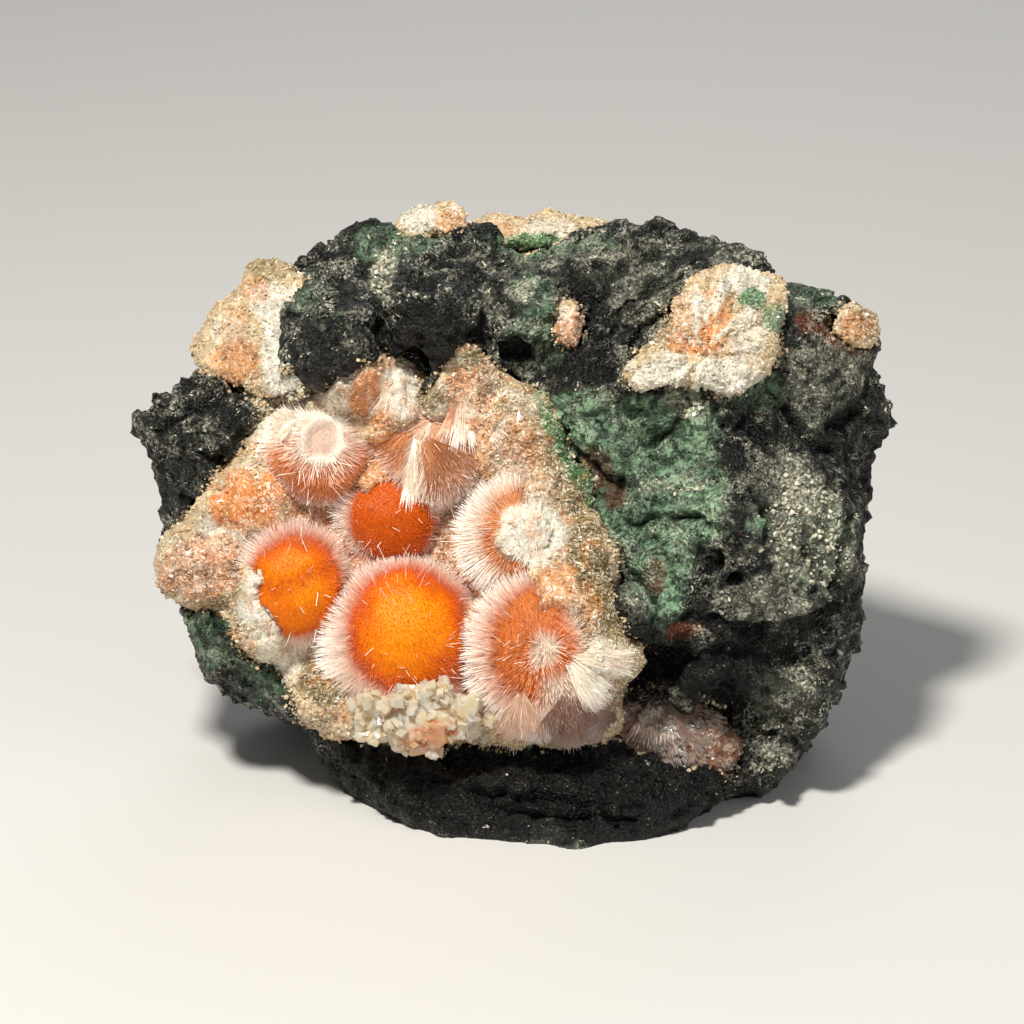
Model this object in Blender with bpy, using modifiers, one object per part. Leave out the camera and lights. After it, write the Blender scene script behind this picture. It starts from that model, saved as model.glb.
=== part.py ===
"""Thomsonite specimen: a hand-sized block of dark basalt whose open vug is lined with
orange, needle-fringed thomsonite balls. Metres, +Z up, the viewer in front at -Y.

The display face leans back from the upright. Places on it are given face-on, in
millimetres: across (x), up the face (up) and out towards the viewer (out).
"""

import math

import bmesh
import bpy
import numpy as np
from mathutils import Matrix, Vector, noise
from mathutils.bvhtree import BVHTree

MM = 0.001
FACE_LEAN = math.radians(22)  # how far the face leans back from the upright
FACE_HEIGHT = 29.2  # height of the face's origin above the table
VIEW_DISTANCE = 503.0  # the face was measured from this far off, so near places looked larger
GAP = 0.5  # clearance between two pieces that touch
VOXEL = 0.85  # grain of the block's first shaping
CRUST_VOXEL = 0.55  # grain of the crust's shaping
SOCKET_VOXEL = 0.35  # grain of the sockets' shaping
SOCKET_TRIANGLES = 3500
BLOCK_TRIANGLES = 3800
CRUST_TRIANGLES = 2250
BED_DEPTH = 2.6  # how far behind the rock's first surface the crust's hidden back lies
PATCH_SLOPE = 1.0  # steepest that a patch of crystals leans from the face
PATCH_RANK = 50  # percentage of the rock under a patch that lies behind its level
ROUGHER_BACK = 1.6  # how much rougher the unseen side's surface is than the face

# The block as seen face-on, clockwise from the tip of its left beak: (across, up)
BLOCK_OUTLINE = [
    (-46.6, 12.6), (-42.6, 16.4), (-36.6, 20.6), (-34.2, 23.6), (-31.0, 27.6), (-25.6, 31.4),
    (-23.6, 34.6), (-20.0, 38.0), (-16.0, 39.4), (-4.5, 38.6), (3.8, 38.2), (6.4, 40.2),
    (10.4, 35.0), (22.9, 32.4), (29.2, 32.6), (33.3, 31.0), (37.2, 30.2), (43.4, 26.8),
    (44.8, 23.2), (46.2, 17.7), (46.2, 14.0), (44.4, 10.8), (40.8, 8.4), (39.9, 2.7),
    (40.8, -2.6), (40.4, -9.3), (39.0, -16.0), (37.4, -21.4), (34.4, -25.4), (33.2, -29.8),
    (29.8, -30.4), (25.0, -31.0), (18.6, -35.2), (13.0, -37.8), (6.1, -39.0), (-2.1, -39.0),
    (-9.2, -37.2), (-15.6, -33.0), (-20.0, -28.2), (-23.6, -22.8), (-30.4, -19.8), (-35.4, -16.6),
    (-36.8, -12.4), (-36.6, -9.1), (-37.8, -4.4), (-38.8, -0.6), (-39.8, 3.3), (-42.6, 8.0),
]
RIM_SLOPE = -0.35  # the block's widest outline lies further back the higher it is
RIM_OUT = 0.8
BACK_OUT = -35.0
FRONT_BOXINESS = 3.6
BACK_BOXINESS = 2.7

# Depth soundings of the bare rock face: (across, up): out
SOUNDINGS = {
    (-15, 33): -4, (5, 33): -5, (25, 29): -4, (38, 25): -5,
    (-20, 27): 2, (-5, 27): 3, (10, 27): 3, (25, 23): 7, (38, 18): 1,
    (-20, 20): 6, (-8, 20): 7, (5, 18): 8, (15, 15): 9,
    (25, 15): 11, (35, 10): 6, (30, 0): 13, (38, -3): 7, (22, 3): 11,
    (10, 8): 10, (16, 0): 11, (20, -8): 12.5, (30, -10): 13, (25, -12): 13, (36, -12): 7,
    (16, -18): 6, (24, -21): 6, (30, -20): 8, (36, -20): 3,
    (20, -26): 6, (30, -28): -1, (22, -30): 8,
    (0, -34): 12, (10, -35): 12.5, (-10, -31): 7, (-18, -27): 1,
    (0, -28): 9, (-10, -26): 6, (10, -27): 9,
    (-36, 8): 4, (-41, 10): 1, (-38, 0): 0, (-33, 14): 3, (-30, 5): 3, (-33, -15): 1,
    (-22, 6): 2, (-12, 2): 1, (-12, -12): 2, (-25, -8): 1, (0, -8): 4, (6, 4): 8,
    (8, -12): 7, (12, -8): 11, (-3, 8): 5, (-12, 10): 3,
}

# Knobs that stand out of the rock face: (across, up, outermost, half width, half height, turn in degrees)
KNOBS = {
    "left_dark_knob": (-20.4, 21.2, 15.0, 6.3, 7.0, 0),
    "middle_dark_knob": (-9.8, 25.1, 14.6, 7.4, 5.4, 10),
    "hanging_tongue": (-8.4, 18.4, 12.5, 2.4, 5.5, -5),
    "inner_dark_knob": (-3.6, 22.4, 12.5, 5.0, 5.5, 0),
    "top_left_rim": (-19.8, 30.4, 4.0, 6.5, 4.0, 25),
    "upper_middle": (4.4, 24.4, 11.5, 6.2, 5.6, 0),
    "centre_slope": (12.5, 16.4, 13.5, 7.6, 6.6, -20),
    "streaked_slope": (15.6, 27.4, 9.5, 10.5, 6.0, -25),
    "right_bed": (23.2, 22.6, 12.5, 11.5, 10.0, 25),
    "right_shoulder": (36.2, 21.6, 9.5, 8.2, 8.6, 0),
    "right_lobe": (41.0, 14.2, 4.5, 5.0, 6.5, 0),
    "right_swell": (29.7, -1.0, 17.0, 11.5, 12.5, -20),
    "right_edge": (40.0, -2.0, 8.0, 3.4, 9.0, 0),
    "overhang": (16.2, -11.6, 16.0, 5.6, 4.2, -10),
    "ledge": (22.7, -18.3, 14.0, 5.4, 2.4, 25),
    "right_foot": (31.2, -26.4, 2.5, 4.2, 4.6, 0),
    "lower_right": (33.3, -19.2, 8.5, 5.6, 5.0, 0),
    "beak_upper": (-36.8, 11.0, 7.0, 8.5, 5.4, 35),
    "beak_lower": (-34.6, 3.0, 6.0, 7.4, 4.6, -35),
    "lower_left": (-32.4, -14.8, 6.0, 5.0, 4.8, 0),
    "base_shelf": (-1.5, -31.2, 12.0, 7.5, 1.5, -8),
    "base_sill": (4.5, -34.2, 13.4, 10.5, 1.8, -4),
    "base_lump": (15.6, -31.6, 13.5, 5.0, 3.6, 20),
}

# Hollows sunk in the rock face: (across, up, depth, half width, half height, turn in degrees)
HOLLOWS = {
    "cave_under_overhang": (17.6, -17.8, 6.0, 4.6, 2.6, 25),
    "cave_under_ledge": (26.0, -23.0, 5.0, 5.0, 2.2, -10),
    "pocket": (20.0, -25.4, 3.5, 6.8, 4.2, -5),
    "round_vesicle": (27.0, -6.8, 4.0, 1.5, 1.5, 0),
    "oval_vesicle": (26.6, -13.9, 3.5, 2.2, 1.5, 0),
    "dark_hollow": (1.0, 18.8, 4.0, 3.4, 2.4, -25),
    "knob_cleft": (-13.6, 21.4, 5.0, 1.6, 6.0, 12),
    "tongue_cleft": (-11.4, 19.6, 4.0, 2.0, 3.4, 0),
    "slope_step": (15.8, 22.4, 3.0, 7.5, 1.2, 42),
    "right_notch": (39.8, 8.4, 4.0, 5.5, 1.4, 20),
    "beak_crease": (-34.4, 7.4, 3.2, 8.0, 1.1, -38),
    "base_gap": (3.0, -32.9, 2.6, 11.0, 0.8, -6),
    "under_crust": (-2.0, -27.0, 2.5, 14.0, 2.2, -4),
}

# Natural breaks that flatten the back, sides and top: (across, up, out) of the normal, distance
BREAKS = [
    ((0.35, 0.25, -0.9), 29.5),
    ((-0.45, 0.15, -0.88), 26.5),
    ((-0.1, 0.75, -0.65), 29.0),
    ((0.8, 0.1, -0.6), 36.5),
    ((-0.85, -0.1, -0.5), 35.5),
    ((0.5, 0.7, -0.5), 37.0),
    ((-0.6, 0.6, -0.5), 34.0),
]
TABLE_BREAK = 0.0  # height of the flat break that the block rests on

# Crust of the vug as seen face-on, clockwise from its top
CRUST_OUTLINE = [
    (-4.8, 21.0), (-2.2, 17.6), (3.0, 15.0), (5.4, 8.0), (7.6, 0.5), (11.0, -7.0), (14.0, -14.0),
    (14.8, -16.8), (12.6, -20.4), (13.0, -24.6), (6.5, -25.4), (-2.0, -25.6), (-11.4, -26.0),
    (-18.0, -24.6), (-23.6, -22.8), (-26.4, -16.8), (-30.4, -12.6), (-35.6, -9.2), (-40.0, -6.2),
    (-40.8, -2.6), (-37.2, 0.6), (-33.0, 6.0), (-29.6, 10.4), (-28.6, 13.2), (-22.0, 14.4),
    (-17.0, 19.4), (-12.4, 18.6), (-10.2, 14.6), (-8.0, 13.8), (-7.0, 20.0),
]
CRUST_CENTRE = (-12.0, -5.0)
CRUST_THICKNESS = 1.7

# Balls and half-balls of the crust: (across, up, out of centre, half width, half height, half depth)
BALLS = {
    "great_ball": (-12.5, -13.8, 6.4, 10.4, 10.4, 10.2),
    "left_ball": (-25.4, -7.0, 5.2, 8.0, 8.0, 8.0),
    "deep_ball": (-14.4, 0.8, 3.4, 7.2, 7.2, 7.2),
    "cup_ball": (-22.4, 8.4, 5.0, 6.7, 6.7, 7.2),
    "white_disc": (1.0, -1.4, 11.2, 7.8, 7.8, 3.2),
    "split_ball": (4.4, -14.8, 11.8, 10.4, 10.4, 7.6),
    "fan_ball": (-8.6, 8.6, 4.6, 7.0, 7.0, 6.6),
}

# Lobes of granular and blocky crystals between the balls, given like them
LOBES = {
    "upper_fan": (-14.0, 14.8, 5.6, 4.4, 5.6, 4.6),
    "pink_spur": (-4.8, 14.6, 5.6, 2.6, 7.2, 4.8),
    "spur_foot": (-1.4, 10.0, 6.4, 3.4, 5.0, 4.6),
    "velvet_lobe": (-30.6, 2.4, 4.0, 4.8, 4.4, 4.6),
    "far_left_lobe": (-36.4, -4.8, 2.6, 4.8, 4.4, 4.6),
    "left_lobe": (-31.6, -4.4, 3.4, 4.6, 4.4, 5.0),
    "white_knot": (-28.6, -11.4, 6.0, 3.2, 4.6, 3.8),
    "tan_shoulder": (2.6, 9.4, 7.6, 4.4, 6.0, 4.0),
    "tan_waist": (5.8, 2.6, 8.4, 4.0, 5.2, 3.6),
    "tan_border": (9.0, -5.4, 10.0, 3.6, 6.0, 3.8),
    "cream_wedge": (10.2, -16.0, 14.4, 5.2, 2.6, 4.4),
    "smoky_skirt": (6.2, -22.2, 9.4, 6.6, 3.6, 4.6),
    "left_skirt": (-19.0, -21.4, 7.0, 5.2, 3.2, 4.2),
}
CUP = (-21.8, 10.0, 13.2, 3.3)  # hollow in the top of the cup ball: across, up, out, radius
CLEFT = (8.2, -11.4, 21.0, 3.4)  # dark pit beside the split ball's white star

# Blocky clear crystals along the crust's lower lip:
# (across, up, out, width, height, depth, turn about the line of sight, nod)
LIP_CRYSTALS = [
    (-15.8, -22.6, 12.6, 4.6, 5.4, 5.0, 6, 10),
    (-12.2, -23.4, 13.4, 5.2, 5.2, 5.6, -18, -8),
    (-9.0, -24.2, 13.6, 4.4, 5.2, 5.2, 24, 14),
    (-5.8, -22.8, 13.6, 5.0, 4.4, 5.4, -8, 4),
    (-12.8, -20.4, 13.8, 3.4, 4.2, 4.6, 32, -20),
    (-8.2, -20.8, 14.6, 3.8, 4.0, 4.4, -30, 12),
    (-2.8, -22.2, 12.2, 3.6, 3.8, 4.2, 16, -10),
    (-11.0, -25.0, 11.6, 3.2, 3.4, 4.6, 40, 0),
]

# Bodies of crystals set in the rock: how far they stand proud, how deep they are bedded,
# triangles, outline face-on
PATCHES = {
    "zeolite_vein": (1.5, 5.0, 400, [
        (-36.4, 20.2), (-34.2, 24.6), (-31.2, 27.4), (-29.6, 30.2), (-25.8, 30.2), (-24.2, 28.0),
        (-24.8, 24.6), (-26.2, 21.6), (-25.6, 18.6), (-23.6, 16.6), (-25.0, 15.9), (-28.8, 15.4),
        (-31.0, 16.8), (-34.4, 18.0),
    ]),
    "right_amygdule": (1.3, 6.5, 420, [
        (14.2, 17.0), (16.0, 19.8), (18.8, 22.0), (19.6, 25.2), (22.4, 28.4), (25.0, 30.0),
        (28.6, 29.4), (32.4, 28.4), (32.2, 25.8), (31.0, 23.0), (31.6, 20.2), (29.2, 17.4),
        (26.8, 15.8), (23.0, 16.6), (19.0, 17.0), (16.4, 15.6),
    ]),
    "ridge_amygdule_left": (0.9, 3.2, 110, [
        (-12.6, 34.6), (-10.6, 36.6), (-7.4, 37.0), (-5.0, 36.6), (-4.6, 35.2), (-7.8, 34.2), (-10.8, 33.8),
    ]),
    "ridge_amygdule_right": (0.9, 3.6, 180, [
        (-4.4, 34.6), (-1.0, 35.8), (3.0, 35.6), (6.0, 36.0), (9.8, 35.2), (14.8, 34.0),
        (12.2, 32.4), (7.4, 32.0), (3.6, 33.2), (-1.6, 33.4),
    ]),
    "small_amygdule": (0.7, 2.4, 80, [
        (6.0, 24.6), (6.6, 25.4), (7.6, 25.6), (8.6, 24.2), (8.6, 22.4), (7.6, 20.8), (6.6, 21.4), (6.0, 23.0),
    ]),
    "edge_amygdule": (0.9, 3.0, 100, [
        (38.6, 24.0), (40.4, 25.2), (43.0, 24.6), (43.4, 22.4), (42.6, 21.0), (40.2, 21.4), (38.8, 22.4),
    ]),
    "pocket_spray": (1.6, 3.6, 180, [
        (14.2, -21.6), (16.4, -20.2), (20.0, -20.6), (24.2, -22.8), (27.0, -26.0), (26.2, -28.4),
        (22.4, -29.4), (17.8, -28.4), (14.8, -26.4), (14.0, -24.0),
    ]),
}

# Material: colour, roughness
FINISHES = {
    "basalt": ((0.055, 0.058, 0.052), 0.75),
    "thomsonite": ((0.86, 0.28, 0.06), 0.45),
    "zeolite": ((0.80, 0.68, 0.55), 0.45),
    "clear_crystal": ((0.85, 0.78, 0.70), 0.12),
    "amygdule": ((0.80, 0.58, 0.42), 0.5),
    "smoky_zeolite": ((0.45, 0.36, 0.33), 0.3),
}
def lean():
    """From places on the face, in millimetres with the viewer at -Y, to the world in metres."""
    raised = Matrix.Translation((0, 0, FACE_HEIGHT * MM))
    return raised @ Matrix.Rotation(-FACE_LEAN, 4, "X") @ Matrix.Scale(MM, 4)


def stand_up(mesh):
    """From places measured on the face to the world."""
    co = vertices_of(mesh)
    co[:, [0, 2]] *= 1 + co[:, [1]] / VIEW_DISTANCE
    set_vertices(mesh, co)
    mesh.transform(lean())
    mesh.update()


def material(finish):
    colour, roughness = FINISHES[finish]
    made = bpy.data.materials.get(finish) or bpy.data.materials.new(finish)
    made.use_nodes = True
    shader = made.node_tree.nodes["Principled BSDF"]
    shader.inputs["Base Color"].default_value = (*colour, 1)
    shader.inputs["Roughness"].default_value = roughness
    made.diffuse_color = (*colour, 1)
    return made


def link(name, mesh, collection, finish=None):
    obj = bpy.data.objects.new(name, mesh)
    collection.objects.link(obj)
    if finish:
        mesh.materials.clear()
        mesh.materials.append(material(finish))
    return obj


def evaluated_mesh(obj):
    """The object's mesh as its modifiers leave it, as a new mesh."""
    graph = bpy.context.evaluated_depsgraph_get()
    return bpy.data.meshes.new_from_object(obj.evaluated_get(graph))


def settle(obj):
    """Makes the object's modifiers part of its mesh and drops any crumb that came loose."""
    obj.data = evaluated_mesh(obj)
    obj.modifiers.clear()
    keep_largest(obj.data)


def keep_largest(mesh):
    """Removes every loose part of the mesh but the one with the most faces."""
    bm = bmesh.new()
    bm.from_mesh(mesh)
    left = set(bm.faces)
    islands = []
    while left:
        front = [left.pop()]
        island = set(front)
        while front:
            face = front.pop()
            near = {other for edge in face.edges for other in edge.link_faces} & left
            left -= near
            island |= near
            front.extend(near)
        islands.append(island)
    islands.sort(key=len)
    bmesh.ops.delete(bm, geom=[face for island in islands[:-1] for face in island], context="FACES")
    bm.to_mesh(mesh)
    bm.free()


def outline_reach(outline, centre):
    """A function of angle that gives how far the outline lies from its centre."""
    steps = 12  # points along each side, so that straight sides stay straight
    corners = np.array(outline, float) - centre
    after = np.roll(corners, -1, axis=0)
    share = np.linspace(0, 1, steps, endpoint=False)[:, None, None]
    points = (corners * (1 - share) + after * share).transpose(1, 0, 2).reshape(-1, 2)
    angle = np.arctan2(points[:, 1], points[:, 0])
    order = np.argsort(angle)
    reach = np.hypot(points[:, 0], points[:, 1])[order]
    return lambda theta: np.interp(theta, angle[order], reach, period=2 * math.pi)


def lens(outline, centre, front, back, rim, boxiness, fineness):
    """A closed body with this outline, whose faces lie at front(x, up) and back(x, up)."""
    bm = bmesh.new()
    bmesh.ops.create_icosphere(bm, subdivisions=fineness, radius=1)
    mesh = bpy.data.meshes.new("lens")
    bm.to_mesh(mesh)
    bm.free()
    unit = vertices_of(mesh)
    across, depth, up = unit.T
    theta = np.arctan2(up, across)
    share = np.minimum(np.hypot(across, up), 1)
    reach = outline_reach(outline, centre)(theta) * share
    x = centre[0] + reach * np.cos(theta)
    y = centre[1] + reach * np.sin(theta)
    edge = rim(x, y)
    forward = depth < 0
    power = np.where(forward, boxiness[0], boxiness[1])
    swell = (1 - share**power) ** (1 / power)
    out = edge + (np.where(forward, front(x, y), back(x, y)) - edge) * swell
    set_vertices(mesh, np.column_stack([x, -out, y]))
    return mesh


def vertices_of(mesh):
    co = np.empty(len(mesh.vertices) * 3, np.float32)
    mesh.vertices.foreach_get("co", co)
    return co.reshape(-1, 3).astype(float)


def set_vertices(mesh, co):
    mesh.vertices.foreach_set("co", co.astype(np.float32).ravel())
    mesh.update()


def local_ellipse(x, up, across, high, half_width, half_height, turn):
    """Squared distance from a turned ellipse's centre, 1 on its edge."""
    c, s = math.cos(math.radians(turn)), math.sin(math.radians(turn))
    u = ((x - across) * c + (up - high) * s) / half_width
    v = ((up - high) * c - (x - across) * s) / half_height
    return u * u + v * v


def sounded(x, up):
    """How far out the rock stands, before its knobs and hollows."""
    places = np.array(list(SOUNDINGS), float)
    depths = np.array(list(SOUNDINGS.values()), float)
    apart = (x[:, None] - places[:, 0]) ** 2 + (up[:, None] - places[:, 1]) ** 2
    weight = 1 / (apart + 4) ** 2
    return (weight * depths).sum(1) / weight.sum(1)


def rock_front(x, up):
    """How far out the bare rock stands at each place on the face."""
    out = sounded(x, up)
    for across, high, outermost, half_width, half_height, turn in KNOBS.values():
        inside = np.clip(1 - local_ellipse(x, up, across, high, half_width, half_height, turn), 0, None)
        thick = 0.9 * min(half_width, half_height) + 2
        out = np.where(inside > 0, np.maximum(out, outermost - thick * (1 - np.sqrt(inside))), out)
    for across, high, depth, half_width, half_height, turn in HOLLOWS.values():
        near = local_ellipse(x, up, across, high, half_width, half_height, turn)
        out = out - depth * np.exp(-(near**1.5))
    return out


def crust_bed(x, up):
    """How far out the hidden back of the crust lies."""
    return sounded(x, up) - BED_DEPTH


def level_of(outline, centre, rock_out):
    """A plane that lies along the rock inside an outline, no steeper than a patch may be."""
    corners = np.array(outline, float)
    inside = np.concatenate([centre + (corners - centre) * share for share in (0.0, 0.3, 0.6, 0.85)])
    out = rock_out(*inside.T)
    inside, out = inside[~np.isnan(out)], out[~np.isnan(out)]
    terms = np.column_stack([inside - centre, np.ones(len(inside))])
    slopes = np.linalg.lstsq(terms, out, rcond=None)[0][:2]
    slopes *= min(1, PATCH_SLOPE / (np.hypot(*slopes) + 1e-9))
    height = np.percentile(out - terms[:, :2] @ slopes, PATCH_RANK)
    return lambda x, up: height + slopes[0] * (x - centre[0]) + slopes[1] * (up - centre[1])


def block_rim(x, up):
    return RIM_OUT + RIM_SLOPE * up


def break_flat(mesh):
    """Cuts the lumps back to the natural breaks, with a rough, not a sawn, surface."""
    co = vertices_of(mesh)
    for direction, distance in BREAKS:
        normal = np.array((direction[0], -direction[2], direction[1]))
        normal /= np.linalg.norm(normal)
        over = co @ normal - distance
        co -= np.outer(np.clip(over, 0, None) * 0.88, normal)
    set_vertices(mesh, co)


def roughen(mesh, scales, seed):
    """Moves each point along its normal by ridged noise: (wavelength, height) for each scale."""
    co = vertices_of(mesh)
    normals = np.empty(len(mesh.vertices) * 3, np.float32)
    mesh.vertices.foreach_get("normal", normals)
    offset = Vector((seed, seed * 2, seed * 3))
    move = np.zeros(len(co))
    for wavelength, height in scales:
        values = [noise.noise(Vector(p) / wavelength + offset) for p in co]
        move += height * (1 - 2.6 * np.abs(values))
    move[co[:, 1] > 0] *= ROUGHER_BACK
    set_vertices(mesh, co + normals.reshape(-1, 3) * move[:, None])


def chip(mesh, size, strength, seed):
    """Flattens the surface cell by cell, as broken rock is."""
    co = vertices_of(mesh)
    rng = np.random.default_rng(seed)
    low, high = co.min(0), co.max(0)
    count = int(np.prod(high - low) / size**3)
    seeds = rng.uniform(low, high, (count, 3))
    cell = np.array([((seeds - p) ** 2).sum(1).argmin() for p in co])
    for c in np.unique(cell):
        members = np.flatnonzero(cell == c)
        if len(members) < 8:
            continue
        middle = co[members].mean(0)
        normal = np.linalg.svd(co[members] - middle, full_matrices=False)[2][2]
        co[members] -= strength * np.outer((co[members] - middle) @ normal, normal)
    set_vertices(mesh, co)


def remeshed(mesh, voxel, collection):
    """One even skin round everything in the mesh."""
    obj = link("shaping", mesh, collection)
    remesh = obj.modifiers.new("Skin", "REMESH")
    remesh.mode = "VOXEL"
    remesh.voxel_size = voxel
    skin = evaluated_mesh(obj)
    bpy.data.objects.remove(obj)
    return skin


def thin(obj, triangles):
    """Leaves about this many triangles, the most where the surface bends."""
    faces = sum(len(p.vertices) - 2 for p in obj.data.polygons)
    decimate = obj.modifiers.new("Facets", "DECIMATE")
    decimate.ratio = min(1, triangles / faces)
    decimate.use_collapse_triangulate = True
    obj.data = evaluated_mesh(obj)
    obj.modifiers.clear()


def rest_on_table(obj):
    """Breaks the block off flat where it stands on the table."""
    bm = bmesh.new()
    bm.from_mesh(obj.data)
    geometry = bm.verts[:] + bm.edges[:] + bm.faces[:]
    cut = bmesh.ops.bisect_plane(
        bm, geom=geometry, plane_co=(0, 0, TABLE_BREAK), plane_no=(0, 0, -1), clear_outer=True
    )
    edges = [e for e in cut["geom_cut"] if isinstance(e, bmesh.types.BMEdge)]
    bmesh.ops.holes_fill(bm, edges=edges)
    bmesh.ops.triangulate(bm, faces=[f for f in bm.faces if len(f.verts) > 3])
    for v in bm.verts:
        if abs(v.co.z - TABLE_BREAK) < 1e-6:
            v.co.z = TABLE_BREAK
    bmesh.ops.recalc_face_normals(bm, faces=bm.faces)
    bm.to_mesh(obj.data)
    bm.free()


def centre_on_origin(objects):
    """Slides the whole specimen until its box is centred over the origin."""
    co = np.concatenate([vertices_of(obj.data) for obj in objects])
    middle = (co.min(0) + co.max(0)) / 2
    for obj in objects:
        obj.data.transform(Matrix.Translation((-middle[0], -middle[1], 0)))
        obj.data.update()


def make_block(collection):
    whole = lens(BLOCK_OUTLINE, (0.0, 0.0), rock_front, lambda x, up: 0 * x + BACK_OUT, block_rim,
                 (FRONT_BOXINESS, BACK_BOXINESS), 6)
    break_flat(whole)
    whole = remeshed(whole, VOXEL, collection)
    roughen(whole, [(11.0, 1.1), (5.0, 0.7)], seed=3)
    whole = remeshed(whole, VOXEL, collection)
    chip(whole, 9.0, 0.55, seed=4)
    chip(whole, 4.2, 0.6, seed=5)
    roughen(whole, [(2.4, 0.25)], seed=6)
    block = link("basalt_matrix", whole, collection, "basalt")
    thin(block, BLOCK_TRIANGLES)
    return block


def surface_of(obj):
    """A function that gives how far out the object's front surface is at a place on the face."""
    tree = BVHTree.FromPolygons([v.co for v in obj.data.vertices], [p.vertices for p in obj.data.polygons])

    def out_at(x, up):
        found = []
        for a, b in zip(x, up):
            hit = tree.ray_cast(Vector((a, -60, b)), Vector((0, 1, 0)))[0]
            found.append(np.nan if hit is None else -hit.y)
        return np.array(found)

    return out_at


def draped(rock_out, proud):
    """A front function that follows the rock, past its edge too, at this height above it."""

    def front(x, up):
        out = rock_out(x, up)
        edge = np.isnan(out)
        out[edge] = block_rim(x[edge], up[edge])
        return out + proud

    return front


def ball(centre_and_radii, fineness=4):
    """A mesh of one ball, face-on, in millimetres."""
    across, up, out, half_width, half_height, half_depth = centre_and_radii
    bm = bmesh.new()
    bmesh.ops.create_icosphere(bm, subdivisions=fineness, radius=1)
    place = Matrix.Translation((across, -out, up)) @ Matrix.Diagonal((half_width, half_depth, half_height, 1))
    bmesh.ops.transform(bm, matrix=place, verts=bm.verts)
    mesh = bpy.data.meshes.new("ball")
    bm.to_mesh(mesh)
    bm.free()
    return mesh


def joined(meshes):
    """One mesh that holds all of these."""
    bm = bmesh.new()
    for mesh in meshes:
        bm.from_mesh(mesh)
    whole = bpy.data.meshes.new("joined")
    bm.to_mesh(whole)
    bm.free()
    return whole


def cut_away(obj, cutter):
    cut = obj.modifiers.new("Socket", "BOOLEAN")
    cut.operation = "DIFFERENCE"
    cut.solver = "EXACT"
    cut.use_self = True
    cut.object = cutter


def socket_for(pieces, name, triangles, cutters):
    """A guide that is the pieces grown by the gap, which cuts their socket in a neighbour."""
    grown = []
    for obj in pieces:
        mesh = obj.data.copy()
        normals = np.empty(len(mesh.vertices) * 3, np.float32)
        mesh.vertices.foreach_get("normal", normals)
        set_vertices(mesh, vertices_of(mesh) + normals.reshape(-1, 3) * GAP)
        grown.append(mesh)
    socket = link(name, remeshed(joined(grown), SOCKET_VOXEL, cutters), cutters)
    thin(socket, triangles)
    socket.hide_render = True
    socket.display_type = "WIRE"
    return socket


def make_crust(rock_out, collection, cutters):
    """The vug's lining with all its balls, grown together."""
    front = draped(rock_out, CRUST_THICKNESS)
    lining = lens(CRUST_OUTLINE, CRUST_CENTRE, front, crust_bed, draped(rock_out, 0.0), (5.0, 4.0), 6)
    lobes = remeshed(joined([lining] + [ball(b) for b in LOBES.values()]), CRUST_VOXEL, collection)
    roughen(lobes, [(5.0, 0.6), (2.2, 0.35)], seed=8)
    chip(lobes, 2.8, 0.8, seed=2)
    whole = remeshed(joined([lobes] + [ball(b) for b in BALLS.values()]), CRUST_VOXEL, collection)
    co = vertices_of(whole)
    co[:, 1] = np.minimum(co[:, 1], -crust_bed(co[:, 0], co[:, 2]))
    set_vertices(whole, co)
    crust = link("thomsonite_crust", remeshed(whole, CRUST_VOXEL, collection), collection, "thomsonite")
    for name, (across, up, out, radius) in {"cup": CUP, "cleft": CLEFT}.items():
        hollow = link(name, ball((across, up, out, radius, radius, radius), 3), cutters)
        hollow.hide_render = True
        hollow.display_type = "WIRE"
        cut_away(crust, hollow)
    settle(crust)
    thin(crust, CRUST_TRIANGLES)
    return crust


def make_patch(name, proud, depth, triangles, outline, rock_out, collection, finish):
    """A lens of crystals bedded in the rock."""
    centre = np.mean(outline, axis=0)
    level = level_of(outline, centre, rock_out)
    mesh = lens(outline, centre, lambda x, up: level(x, up) + proud,
                lambda x, up: level(x, up) - depth, level, (2.6, 2.6), 5)
    roughen(mesh, [(3.5, 0.45), (1.6, 0.3)], seed=len(name))
    chip(mesh, 2.2, 0.7, seed=len(name))
    patch = link(name, mesh, collection, finish)
    thin(patch, triangles)
    return patch


def crystal(spec):
    """One blocky crystal, a little narrower at its head."""
    across, up, out, width, height, depth, turn, nod = spec
    bm = bmesh.new()
    bmesh.ops.create_cone(bm, cap_ends=True, segments=4, radius1=0.72, radius2=0.5, depth=1)
    bmesh.ops.rotate(bm, verts=bm.verts, cent=(0, 0, 0), matrix=Matrix.Rotation(math.radians(45), 3, "Z"))
    turned = Matrix.Rotation(math.radians(turn), 4, "Y") @ Matrix.Rotation(math.radians(180 + nod), 4, "X")
    place = Matrix.Translation((across, -out, up)) @ turned @ Matrix.Diagonal((width, depth, height, 1))
    bmesh.ops.transform(bm, matrix=place, verts=bm.verts)
    bmesh.ops.recalc_face_normals(bm, faces=bm.faces)
    mesh = bpy.data.meshes.new("crystal")
    bm.to_mesh(mesh)
    bm.free()
    return mesh


def make_lip_crystals(crust_socket, collection, cutters):
    """The clear crystals along the crust's lower lip, grown together."""
    first = link("clear_crystals", crystal(LIP_CRYSTALS[0]), collection, "clear_crystal")
    for number, spec in enumerate(LIP_CRYSTALS[1:]):
        other = link(f"lip_crystal_{number}", crystal(spec), cutters)
        other.hide_render = True
        other.display_type = "WIRE"
        grow = first.modifiers.new("Grown together", "BOOLEAN")
        grow.operation = "UNION"
        grow.solver = "EXACT"
        grow.object = other
    settle(first)
    cut_away(first, crust_socket)
    settle(first)
    return first


def clear_scene():
    for obj in list(bpy.data.objects):
        bpy.data.objects.remove(obj, do_unlink=True)


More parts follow.
